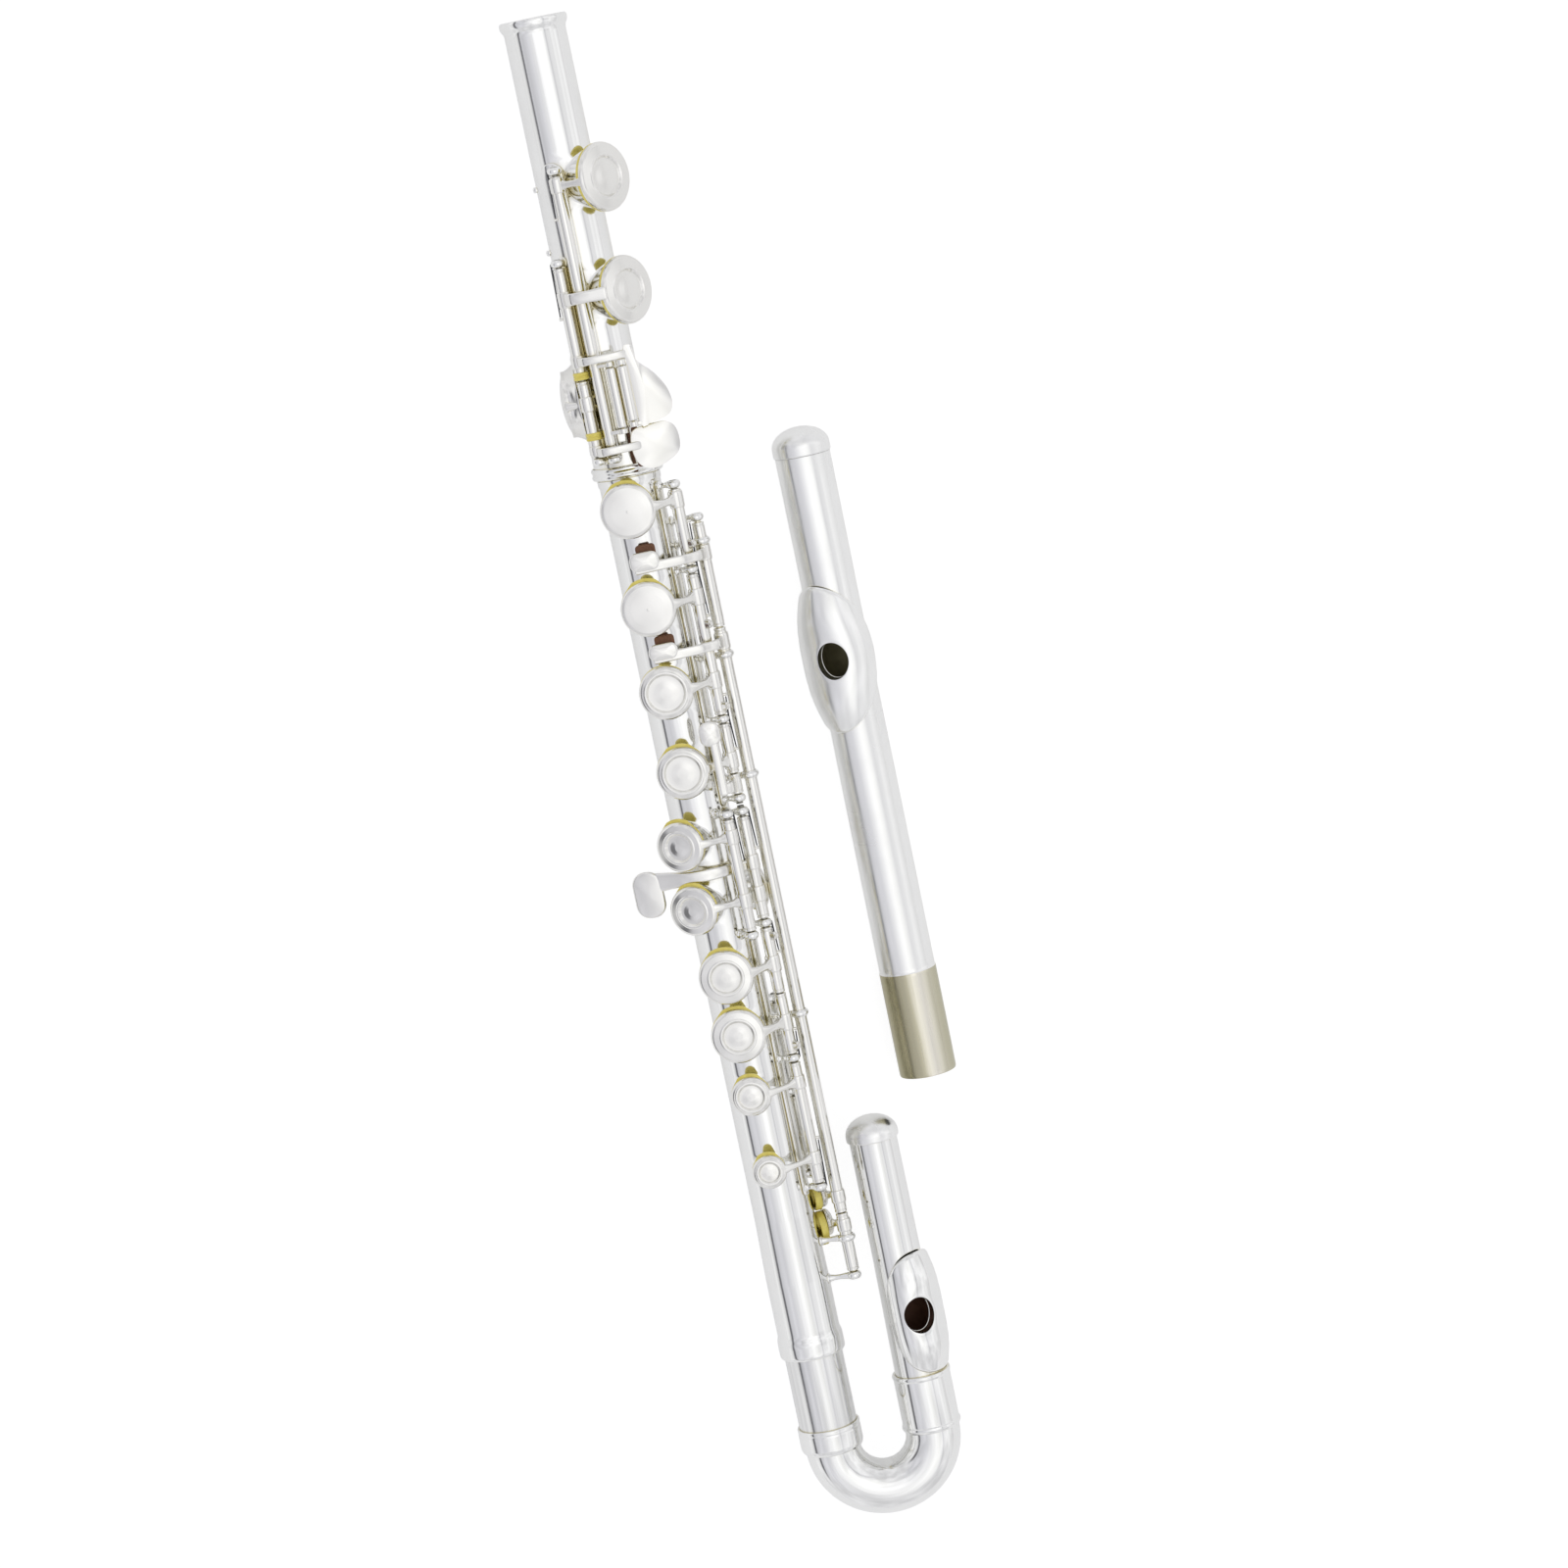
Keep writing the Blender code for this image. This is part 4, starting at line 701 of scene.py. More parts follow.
# %% Posts and ribs
def post(s, axis, foot_r, bore=HINGE_BORE, radius=BALL_R):
    """A pillar that flares at its foot and under its ball, and the ball as a ring round the hinge."""
    reach = math.hypot(*axis)
    angle = math.degrees(math.atan2(*axis))
    top = reach - foot_r - (bore + radius) / 2
    pillar = [
        (0, -0.3), (1.75, -0.3), (1.75, 0.25), (1.15, 0.7), (0.86, top * 0.35), (0.84, top * 0.6),
        (1.05, top * 0.85), (1.2, top), (0, top),
    ]
    half, q = 1.2, np.radians(np.linspace(50, -50, 9))
    round_side = list(zip(radius * np.cos(q) ** 0.8, half * np.sin(q) / math.sin(q[0])))
    ball = turned([(bore, half)] + round_side + [(bore, -half)], (s, *axis), (1, 0, 0), 32, 0.08)
    return [turned(pillar, around(s, angle, foot_r), outward(angle), 24, 0.2), ball]


def rib(start, end, angle, width):
    """A strap with round ends, bent to the tube."""
    outline = round_rectangle(end - start, width, width * 0.48)
    return plate(outline, 0.95, ((start + end) / 2, 0, 0), tilt=angle, dome=0.08, wrap_radius=TUBE_R + 0.5)


def screw_head(s, axis, facing):
    """A pivot screw's head, with a slot cut across it: two half discs either side of the gap."""
    halves = []
    for turn in (0, math.pi):
        a = np.linspace(0.16, math.pi - 0.16, 16) + turn
        outline = np.stack([1.12 * np.cos(a), 1.12 * np.sin(a)], axis=1)
        points, faces = plate(outline, 0.5, (0, 0, 0), dome=0.06)
        x, y, h = points.T
        halves.append((np.stack([s + facing * h, axis[0] + x, axis[1] + y], axis=1), faces))
    return halves


print("a post has", sum(len(points) for points, _ in post(152.4, MAIN, RIB_TOP)), "points")

# %% [markdown]
# ## The body tube
# The body is one drawn tube with a tenon for the foot at one end and the barrel, wider by half a
# millimetre, at the other. Some posts stand on it directly. It is made in one piece with its chimneys, so
# that reflections run along it without a break.

# %% Body tube
outer = [
    (127.0, 9.7), (147.5, 9.7), (147.55, 10.25), (149.6, 10.25), (150.0, TUBE_R), (396.0, TUBE_R),
    (418.0, SOCKET_R), (435.7, SOCKET_R), (436.6, 10.42), (437.6, 10.75), (438.6, 10.9), (442.4, 10.9),
    (443.3, 10.8), (443.7, 10.55),
]
bore = [(127.0, BORE_R), (408.0, BORE_R), (409.0, 9.9), (443.7, 9.95)]
body = [drilled_tube(outer, bore, [(s, a, r, r, RIM_R) for s, a, r in HOLES.values()])]
for s in (259.4, 299.8):
    body += post(s, G_ROD, TUBE_R)
body += post(326.2, THUMB, TUBE_R)
body += post(330.0, TRILL, TUBE_R, *RINGED) + post(406.8, TRILL, SOCKET_R, *RINGED)
body += post(419.8, TRILL, SOCKET_R)
piece("body_tube_drawn", body, silver_tube, "body", ["body_tube"])

# %% Ribs with their posts
main_angle, trill_angle = math.degrees(math.atan2(*MAIN)), math.degrees(math.atan2(*TRILL))
thumb_angle = math.degrees(math.atan2(*THUMB))
for name, start, end, angle, axis, stations, ringed in (
    ("right_hand_rib", 150.6, 258.0, main_angle, MAIN, (152.4, 180.2, 229.6, 255.8), ()),
    ("left_hand_rib", 258.6, 390.0, main_angle, MAIN, (260.2, 297.6, 343.2, 387.2), ()),
    ("trill_rib", 163.0, 251.4, trill_angle, TRILL, (164.6,), (172.4, 209.8, 249.6)),
    ("thumb_rib", 356.4, 388.6, thumb_angle, THUMB, (358.2, 386.8), ()),
):
    parts = [rib(start, end, angle, 3.3)]
    for s in stations:
        parts += post(s, axis, RIB_TOP)
    for s in ringed:
        parts += post(s, axis, RIB_TOP, *RINGED)
    piece(name + "_soldered", parts, silver_tube, "body", [name])

# %% Pivot steels with slotted heads
for name, axis, start, end, carrier in (
    ("right_hand_steel", MAIN, 151.4, 257.4, "body"), ("left_hand_steel", MAIN, 258.6, 388.6, "body"),
    ("g_steel", G_ROD, 258.2, 301.0, "body"), ("thumb_steel", THUMB, 325.0, 388.0, "body"),
    ("low_c_steel", C_ROD, 47.0, 141.4, "foot"), ("low_csharp_steel", CSHARP_ROD, 75.6, 141.4, "foot"),
):
    parts = [rod((start, *axis), (end, *axis), STEEL_R)]
    parts += screw_head(start, axis, -1) + screw_head(end, axis, 1)
    piece(name + "_slotted", parts, steel, carrier, [name])

# %% [markdown]
# ## The foot joint's tube
# The foot slides onto the body's tenon with its socket, under a beaded ring. Its own end has a bead too,
# which keeps the thin wall round. One wide rib carries the posts of both its rods.

# %% Foot tube, its rib and the socket ring
outer = [
    (0.0, 10.35), (0.25, 10.8), (0.9, 11.0), (2.0, 10.9), (2.9, 10.5), (3.5, 10.1), (4.4, TUBE_R),
    (123.0, TUBE_R), (125.0, 10.45), (147.2, 10.45),
]
bore = [(0.0, BORE_R + 0.15), (0.4, BORE_R), (124.4, BORE_R), (125.4, 10.0), (147.2, 10.0)]
foot = [drilled_tube(outer, bore, [(s, a, r, r, RIM_R) for s, a, r in FOOT_HOLES.values()])]
for axis in (C_ROD, CSHARP_ROD):
    foot += post(140.4, axis, 10.4)
piece("foot_tube_drawn", foot, silver_tube, "foot", ["foot_tube"])

knob = [(0, -0.9), (0.9, -0.9), (1.15, 0), (0.9, 0.9), (0, 0.9)]
parts = [turned(knob, (s, -9.9, 1.2), (1, 0, 0), 24, 0.3) for s in (52.9, 73.2)]
parts += [rib(45.4, 112.0, -23, 7.6)] + post(48.0, C_ROD, RIB_TOP) + post(76.6, CSHARP_ROD, RIB_TOP)
piece("foot_rib_soldered", parts, silver_tube, "foot", ["foot_rib"])

ring = [
    (143.4, 10.72), (143.4, 11.05), (143.9, 11.5), (144.5, 11.55), (145.1, 11.2), (145.5, 11.2),
    (146.1, 11.55), (146.7, 11.5), (147.2, 11.05), (147.2, 10.72),
]
piece("socket_ring_beaded", [along_tube(ring)], silver_tube, "foot_ring", ["foot_socket_ring"])

# %% [markdown]
# ## Key cups and pads
# Cups are stamped from sheet and finished on the lathe. The D and E cups have a flat, softly domed top, and
# most others are dished inside a raised ring. The low D sharp cup is a deep dome with a flaring skirt. The
# pad sits in the cup's hollow, and its yellow skin shows as a thin line wherever a key stands open.

# %% Cups and pads
def cup(name):
    """One profile of (radius, height): from the axis over the top to the hem, and back along the hollow's
    roof. The deep dome follows height = top - 3.4 (1 - cos q) at radius (r - 0.6) sin q."""
    s, angle, _ = ALL_HOLES[name]
    r, ring = CUPS[name]
    high, hem, roof = (2.7, 0.6, 1.5) if r > 5 else (2.2, -0.3, 1.1)
    hollow, place = [(r - 0.8, hem), (r - 0.8, roof), (0, roof)], (around(s, angle, CUP_BASE), outward(angle))
    if name == "low_dsharp":
        q, top = np.radians(np.arange(2, 88, 7)), high + 0.45
        deep = list(zip((r - 0.6) * np.sin(q), top - 3.4 * (1 - np.cos(q))))
        skirt = [
            (r - 0.45, -0.5), (r, -1.3), (r + 0.6, -2.2), (r + 0.95, -2.8), (r + 0.8, -2.95),
            (r - 0.5, -1.9), (r - 0.8, -0.6),
        ]
        return turned([(0, top)] + deep + skirt + hollow, *place, 72, 0.1)
    if ring:
        ring *= r
        top = [
            (0, high - 0.6), (ring * 0.3, high - 0.66), (ring * 0.6, high - 0.84), (ring - 0.75, high - 0.95),
            (ring - 0.4, high - 0.45), (ring, high + 0.02), (ring + 0.4, high), (ring + 0.75, high - 0.2),
            (r - 1.0, high - 0.4),
        ]
    else:
        dome = [(r * 0.72 * q, high + 0.02 - 0.24 * q**2) for q in (0.06, 0.12, 0.3, 0.5, 0.7, 0.85)]
        edge = [(r * 0.72, high - 0.24), (r - 1.3, high - 0.34)]
        top = [(0, high + 0.16), (r * 0.04, high + 0.13)] + dome + edge
    wall = [
        (r - 0.5, high - 0.66), (r - 0.12, high - 1.15), (r, high - 1.5), (r, hem + 0.3),
        (r + 0.06, hem + 0.12), (r, hem),
    ]
    return turned(top + wall + hollow, *place, 72, 0.1)


def pad(name):
    """A felt disc under skin: a swollen edge, a flat face and the faint ring that the rim has pressed. Below
    the hem, which is where clamp((0.52 - height) / 0.3) rises to 1, the skin has shifted along the tube:
    by 0.25 + bulge q^12 towards the foot, where q is the share of the way to the foot side, or by a shift
    and a stretch for the small trill pads, which overhang their rims."""
    s, angle, hole = ALL_HOLES[name]
    cup_r = CUPS[name][0]
    small, swell = cup_r < 5, 0.75 if cup_r < 11.2 else -0.4
    r, top = cup_r - 0.95, 0.7 if small else 1.1
    free = [
        (r + swell, 0.5), (r + swell + 0.2, 0.1), (r + swell + 0.15, -0.4), (r + swell - 0.25, -0.8),
    ]
    face = [(r + 0.4, -0.93), (hole + 0.75, -0.9), (hole + 0.4, -0.8), (hole + 0.05, -0.9), (0, -0.9)]
    if small:
        free = [
            (r + 0.9, -0.4), (r + 1.3, -0.7), (r + 1.3, -2.4), (r + 1.0, -2.8), (r + 0.4, -2.8),
            (3.7, -2.6),
        ]
        face = [(3.7, -0.95), (hole + 0.05, -0.9), (0, -0.9)]
    profile = [(0, top), (r, top), (r, -0.35 if small else 0.55)] + free + face
    base = around(s, angle, CUP_BASE)
    points, faces = turned(profile, base, outward(angle), 56, 0.1)
    below = np.clip((0.52 - (points - base) @ outward(angle)) / 0.3, 0, 1)
    if small:
        shift, stretch = (1.5, 0.18) if name == "dsharp_trill" else (0.5, -0.06)
        points[:, 0] += (shift + (points[:, 0] - s) * stretch) * below
    elif cup_r < 10:
        foot_side, bulge = np.clip((s - points[:, 0]) / r, 0, 1), 0.0 if name == "f" else 0.75
        points[:, 0] -= (0.25 + bulge * foot_side**12) * below
    return points, faces


print("a cup's base lies", CUP_BASE, "mm from the tube's axis")

# %% [markdown]
# ## Arms, hinge tubes and springs
# An arm grows out of its hinge tube as a saddle, narrows, and spreads again where it meets the cup's wall.
# Each key is returned by a steel needle, fixed in a post and resting in a small hook on the key. The needle
# is drawn rigid and ends just short of its hook, because the hook turns with the key.

# %% Arms and hinge tubes
def cup_arm(name, axis, width=4.0):
    """A path from the hinge to the cup's wall, arched a little outwards, with an hourglass width."""
    s, angle, _ = ALL_HOLES[name]
    a = math.radians(angle)
    height = CUP_BASE + 1.5
    middle = np.array([height * math.sin(a), height * math.cos(a)])
    across = np.array([math.cos(a), -math.sin(a)])
    hinge, steps = np.array(axis), 22
    if (hinge - middle) @ across < 0:
        across = -across
    tip = middle + across * (CUPS[name][0] - 0.9)
    q = np.linspace(0, 1, steps)[:, None]
    bow = np.array([math.sin(a), math.cos(a)]) * 0.55
    tz = hinge + (tip - hinge) * (0.1 + 0.9 * q) + bow * (4 * q * (1 - q))
    path = np.concatenate([np.full((steps, 1), s), tz], axis=1)
    waist = [width + 1.2, width * 0.66, width * 0.6, width * 0.72, width]
    return swept(path, waist, [2.6, 2.0, 1.7, 1.5, 1.3])


def saddle(s, axis, width=5.4):
    """The collar of an arm, which wraps the hinge tube."""
    half = width / 2
    ring = [
        (HINGE_R - 0.1, -half), (HINGE_R + 0.28, -half), (HINGE_R + 0.42, -half + 0.6),
        (HINGE_R + 0.42, half - 0.6), (HINGE_R + 0.28, half), (HINGE_R - 0.1, half),
    ]
    return turned(ring, (s, *axis), (1, 0, 0), 32, 0.15)


def hinge_tube(axis, start, end, radius=HINGE_R):
    """A drilled rod, with a small turned bead at either end."""
    profile = [
        (HINGE_BORE, start), (radius - 0.2, start), (radius, start + 0.2), (radius, start + 0.7),
        (radius - 0.14, start + 0.85), (radius - 0.14, start + 1.05), (radius, start + 1.2),
        (radius, end - 1.2), (radius - 0.14, end - 1.05), (radius - 0.14, end - 0.85), (radius, end - 0.7),
        (radius, end - 0.2), (radius - 0.2, end), (HINGE_BORE, end),
    ]
    return turned(profile, (0, *axis), (1, 0, 0), 32, 0.06)


SPRINGS = {  # the post that holds the needle, the hook it rests in, the hinge, and which side of it
    "d": (180.2, 165.0, MAIN, 1), "e": (180.2, 196.0, MAIN, 1), "f": (229.6, 222.0, MAIN, 1),
    "fsharp": (229.6, 240.0, MAIN, 1), "gsharp": (260.2, 273.0, MAIN, 1), "a": (297.6, 308.0, MAIN, 1),
    "bflat": (343.2, 334.0, MAIN, 1), "c": (387.2, 371.0, MAIN, 1), "g_low": (259.4, 276.0, G_ROD, 1),
    "thumb": (326.2, 341.0, THUMB, 1), "low_c": (48.0, 63.0, C_ROD, -1),
    "low_csharp": (76.6, 94.0, CSHARP_ROD, -1),
}


def needle(name):
    """A needle spring: a round wire beside the hinge that bows down a little and thins towards its hook."""
    start, end, (t, z), side = SPRINGS[name]
    q = np.linspace(0, 1, 14)[:, None]
    ends = np.array([[start, t + side * 2.2, z], [end - math.copysign(0.8, end - start), t + side * 2.62, z]])
    path = ends[0] + (ends[1] - ends[0]) * q - np.array([0, 0, 0.3]) * 4 * q * (1 - q)
    return swept(path, [0.62, 0.42], [0.62, 0.42], side=unit([0.02, 1, 0.1]), columns=10, power=2.0)


def hook(name):
    """The small pin on a key's hinge tube that its needle presses."""
    _, s, (t, z), side = SPRINGS[name]
    pin = [(0, 0), (0.5, 0), (0.42, 1.0), (0.55, 1.3), (0.3, 1.5), (0, 1.5)]
    return turned(pin, (s, t + side * 1.7, z), (0, side, 0), 16)


def clutch(s, axis, lean, reach=3.3):
    """A small lug on a hinge tube with an adjusting screw through it, which sets two keys to close as one."""
    a = math.radians(lean)
    out = np.array([math.sin(a), math.cos(a)])
    middle = np.array(axis) + out * reach
    path = np.concatenate([np.full((8, 1), s), np.linspace(np.array(axis) + out * 1.2, middle, 8)], axis=1)
    lug = swept(path, [3.4, 2.6], [1.8, 1.5], power=3.5)
    head = turned([(0, 0.9), (0.75, 0.9), (0.75, 0.0), (0, 0)], (s, *middle), (0, *out), 20, 0.12)
    return [lug, head]


print(len(SPRINGS), "needle springs")


# %% [markdown]
# ## The keys of the right hand
# D, E and F hang one after another on one steel, and the F sharp cup beyond them closes with any of the
# three. At rest they stand open by springs. Beside them runs the side B flat lever, which has a flat bar.
# Most keys are the same few parts again: a hinge tube with its hook, and a cup with its arm and collar.

# %% Right hand keys
def key(name, axis, parts, swing, pads=()):
    """One key: its metal and its pads, all on one hinge and at one angle of rest."""
    piece(f"{name}_finished", parts, silver_keys, name, [name], axis, swing)
    for pad_name in pads:
        piece(f"{pad_name}_skin", [pad(pad_name)], skin, name, [f"{pad_name}_pad"], axis, swing)


def cupped(name, axis, arm=4.0, collar=5.4):
    """A cup, its arm, and the collar that joins the arm to the hinge tube."""
    return [cup(name), cup_arm(name, axis, arm), saddle(ALL_HOLES[name][0], axis, collar)]


def touch(s, t, z, length, width, corner, thickness=1.4, tilt=0.0, dome=0.5):
    """A finger plate centred at (s, t), its top at z."""
    c, n = math.cos(math.radians(tilt)), math.sin(math.radians(tilt))
    middle = (s, t - n * thickness / 2, z - c * thickness / 2)
    return plate(round_rectangle(length, width, corner), thickness, middle, tilt, dome)


CLUTCH_LEAN = 38  # degrees from upright, towards the rods
for name, start, end, lugs in (
    ("d", 154.0, 178.6, [172.0]), ("e", 181.8, 205.0, [198.4]), ("f", 205.4, 228.0, [225.4]),
    ("fsharp", 231.2, 247.4, []),
):
    parts = [hinge_tube(MAIN, start, end)] + cupped(name, MAIN) + [hook(name)]
    for s in lugs:
        parts += clutch(s, MAIN, CLUTCH_LEAN)
    key(f"{name}_key", MAIN, parts, OPEN_MAIN, [name])

side_parts = [
    hinge_tube(MAIN, 247.8, 254.2), strap([(13.3, 10.0), (12.6, 14.6), (9.4, 17.0)], 251, [4.4, 3.2], 1.4),
    touch(242.6, 9.4, 18.2, 20.8, 2.7, 1.1, 1.3, dome=0.1), touch(232.3, 8.6, 18.3, 8.2, 6.8, 3.0, 1.4),
]
key("side_bflat_lever", MAIN, side_parts, 0.0)

# %% [markdown]
# ## The keys of the left hand
# A carries B flat with it. The offset G cups share one hinge tube. Upper C and the small C sharp share
# another. The G sharp cup sits low on the rods' side, and its touch reaches over to the other side for the
# left little finger.

# %% Left hand keys
for name, start, end, lug in (("a", 299.2, 321.0, 302.0), ("bflat", 321.4, 341.6, 339.0)):
    parts = [hinge_tube(MAIN, start, end)] + cupped(name, MAIN) + [hook(name)]
    parts += clutch(lug, MAIN, CLUTCH_LEAN)
    key(f"{name}_key", MAIN, parts, OPEN_MAIN, [name])

parts = [hinge_tube(MAIN, 344.8, 385.6), hook("c")]
parts += cupped("c", MAIN, 3.0, 4.4) + cupped("csharp", MAIN, 3.0, 4.4)
key("upper_c_key", MAIN, parts, OPEN_MAIN, ["c", "csharp"])

parts = [hinge_tube(G_ROD, 261.2, 298.2), hook("g_low")]
parts += cupped("g_low", G_ROD, 3.4, 4.8) + cupped("g_high", G_ROD, 3.4, 4.8)
key("g_key", G_ROD, parts, OPEN_MAIN, ["g_low", "g_high"])

reach = [(12.8, 8.6), (9.6, 9.4), (6, 11.2), (0, 13.1), (-7, 12.6), (-13, 9.6), (-18, 7.4)]
parts = [
    hinge_tube(MAIN, 262.0, 295.8), cup("gsharp"),
    strap([(14, 7.4), (15, 4), (15.2, -1), (14.6, -6.4)], 287.7, 4, 1.6),
    strap(reach, 277.8, [3.4, 3.6, 4.4, 6.4], 1.5, 44),
    touch(281.4, -21.4, 7.6, 15.4, 10.0, 4.6, 1.6, -12),
    saddle(277.1, MAIN, 4.8), saddle(287.7, MAIN, 5.0), hook("gsharp"),
]
key("gsharp_key", MAIN, parts, 0.0, ["gsharp"])

# %% [markdown]
# ## The thumb keys
# The thumb B key and its B flat lever lie under the tube. The flute rests on the thumb touch when it is
# laid down, so that plate is broad and soft at its rim.

# %% Thumb keys
lever_path = [(10.6, -11.4), (8, -14.6), (3, -15.6)]
parts = [
    hinge_tube(THUMB, 328.0, 356.4), hook("thumb"), *cupped("thumb", THUMB, 4.0, 4.8),
    strap(lever_path, 354, [4.6, 4.0], 1.6), touch(359.6, -2, -15.6, 15.2, 12, 4, 1.6, 180),
]
key("thumb_key", THUMB, parts, 0.0, ["thumb"])
parts = [
    hinge_tube(THUMB, 360.0, 385.0), strap(lever_path, 376, [5.4, 4.6], 1.6),
    touch(375.6, -2, -15.6, 15, 12, 4, 1.6, 180), saddle(376.0, THUMB, 5.8),
]
key("thumb_bflat_lever", THUMB, parts, 0.0)

# %% [markdown]
# ## The trill keys
# Both trills run along a long rod outside the main keys. The D sharp trill's steel turns inside the D
# trill's hinge tube, so two keys share one line of posts. Their touches reach over the main keys to the
# middle of the tube, where a piece of dark felt keeps each from clicking.

# %% Trill keys
def trill_parts(name, arm_s, touch_s, length, collar):
    """A strap from the trill rod over the main keys to its finger plate, a small cup on its arm, and the
    two collars."""
    path = [(18.6, 5.7), (17.9, 10), (13.6, 13), (8, 14.2), (4, 14.8), (-3.6, 14.8)]
    over = strap(path, arm_s, [4.0, 3.0, 3.2, 3.6], 1.5, 44)
    tip = touch(touch_s, -0.4, 15.7, length, 9.6, 2.6, 1.5)
    arm, small_collar = cup_arm(name, TRILL, 3.0), saddle(HOLES[name][0], TRILL, 4.2)
    return [over, tip, cup(name), arm, saddle(arm_s, TRILL, collar), small_collar]


parts = [hinge_tube(TRILL, 201.0, 398.0)] + trill_parts("d_trill", 205.4, 203.7, 5.6, 5.4)
key("d_trill_key", TRILL, parts, 0.0, ["d_trill"])
parts = [
    rod((163.4, *TRILL), (421.0, *TRILL), STEEL_R),
    hinge_tube(TRILL, 166.4, 200.6), hinge_tube(TRILL, 398.4, 418.0),
] + trill_parts("dsharp_trill", 176.2, 174.2, 6.4, 5.0)
key("dsharp_trill_key", TRILL, parts, 0.0, ["dsharp_trill"])

# %% Felt under the trill touches
for name, s, length in (("d_trill", 202.95, 8.7), ("dsharp_trill", 172.6, 7.4)):
    felt = plate(round_rectangle(length, 6.4, 1.2), 1.3, (s, 0.6, 13.2), dome=0.05)
    piece(f"{name}_felt", [felt], bumper, f"{name}_key")

# %% [markdown]
# ## The keys of the foot joint
# The right little finger works all three. It slides from the D sharp touch over the C sharp touch to the
# rollers, which turn on pins between two cheeks. One arm of the C sharp key crosses over both rods. The
# touches are cut to free outlines, so each is drawn from a few corner points with a smooth closed curve.

# %% Touch outlines
def outline_of(corners, t0, count=72):
    """A closed Catmull-Rom curve through corner points, evenly cut, as s and t less t0. From b to d, with a
    before and e after, it is b + q (d - a) / 2 + q^2 (a - 2.5 b + 2 d - e / 2) + q^3 (1.5 (b - d) +
    (e - a) / 2)."""
    c = np.array(corners, float)
    q = np.linspace(0, 1, 24, endpoint=False)[None, :, None]
    a, b, d, e = (np.roll(c, k, axis=0)[:, None] for k in (1, 0, -1, -2))
    curve = b + q * (d - a) / 2 + q**2 * (a - 2.5 * b + 2 * d - e / 2)
    curve = (curve + q**3 * (1.5 * (b - d) + (e - a) / 2)).reshape(-1, 2)
    run = np.concatenate([[0], np.cumsum(np.linalg.norm(np.roll(curve, -1, axis=0) - curve, axis=1))])
    want = np.linspace(0, run[-1], count, endpoint=False)
    closed = np.concatenate([curve, curve[:1]])
    return np.stack([np.interp(want, run, closed[:, 0]), np.interp(want, run, closed[:, 1]) - t0], axis=1)


CSHARP_T, DSHARP_T = 13.6, 9.8  # how far to the side each touch is centred
CSHARP_TOUCH = outline_of([
    (106.9, 7.9), (106.9, 9.2), (110.4, 9.6), (112.6, 11.0), (114.8, 13.3), (117.6, 15.5),
    (121.6, 17.6), (126.0, 18.3), (128.9, 17.0), (130.0, 13.8), (130.5, 10.6), (130.4, 8.4), (118.6, 8.0),
], CSHARP_T)
DSHARP_TOUCH = outline_of([
    (133.6, 4.7), (132.5, 7.8), (132.3, 12.0), (132.5, 15.2), (134.2, 17.2), (138.0, 17.8),
    (141.4, 16.9), (143.4, 13.8), (144.6, 10.2), (144.4, 7.2), (142.4, 4.8), (138.0, 3.9),
], DSHARP_T)
for outline in (CSHARP_TOUCH, DSHARP_TOUCH):
    print("a touch", round(float(np.ptp(outline[:, 0])), 1), "mm long")

# %% Foot keys
C_ROLLER, CSHARP_ROLLER, ROLLER_R = (2.0, 15.0), (6.0, 15.0), 1.85


def roller_frame(path, centre, stations):
    """Two cheeks that end in round eyes, with the roller's pin between them."""
    parts = [rod((stations[0] - 0.5, *centre), (stations[1] + 0.5, *centre), 0.5, 16)]
    for s in stations:
        parts += [strap(path, s, 1.4, 1.3), rod((s - 0.8, *centre), (s + 0.8, *centre), 1.55, 28)]
    return parts


def arm_over(path, s, width):
    """A strap that is broadest where it leaves the hinge tube and a little broader again at its touch."""
    return strap(path, s, [width * 1.25, width, width, width * 1.15], 1.55, 48)


parts = [
    hinge_tube(C_ROD, 49.8, 138.6), hook("low_c"), cup("low_c"), cup_arm("low_c", C_ROD, 3.4),
    saddle(52.6, C_ROD, 4.8),
] + roller_frame([(-2.4, 14.6), (0.0, 15.1), C_ROLLER], C_ROLLER, (110.5, 132.1))
key("low_c_key", C_ROD, parts, OPEN_FOOT, ["low_c"])

cup_reach = [(-7.6, 12.6), (-6.4, 16.2), (-3.0, 17.4), (5.8, 16.9)]
touch_reach = [(-7.6, 12.6), (-6.4, 16.2), (-3.0, 17.2), (4.0, 16.2), (9.6, 13.6)]
parts = [
    hinge_tube(CSHARP_ROD, 78.2, 114.0), hook("low_csharp"), cup("low_csharp"),
    arm_over(cup_reach, 88.2, 3.8), arm_over(touch_reach, 108.2, 2.6),
    plate(CSHARP_TOUCH, 1.6, (0, CSHARP_T, 12.8), 14, dome=0.8),
    saddle(88.2, CSHARP_ROD, 5.2), saddle(108.2, CSHARP_ROD, 4.0),
] + roller_frame([(9.6, 14.0), CSHARP_ROLLER], CSHARP_ROLLER, (110.5, 130.5))
key("low_csharp_key", CSHARP_ROD, parts, OPEN_FOOT, ["low_csharp"])

touch_reach = [(-7.6, 12.6), (-6.8, 16.8), (-3.0, 17.8), (4.0, 16.4), (9.6, 14.4)]
parts = [
    hinge_tube(CSHARP_ROD, 114.4, 138.6), cup("low_dsharp"), cup_arm("low_dsharp", CSHARP_ROD, 3.6),
    arm_over(touch_reach, 137.4, 2.6), plate(DSHARP_TOUCH, 1.6, (0, DSHARP_T, 14.6), 8, dome=0.8),
    saddle(121.8, CSHARP_ROD, 4.8), saddle(136.9, CSHARP_ROD, 3.2),
]
key("low_dsharp_key", CSHARP_ROD, parts, 0.0, ["low_dsharp"])

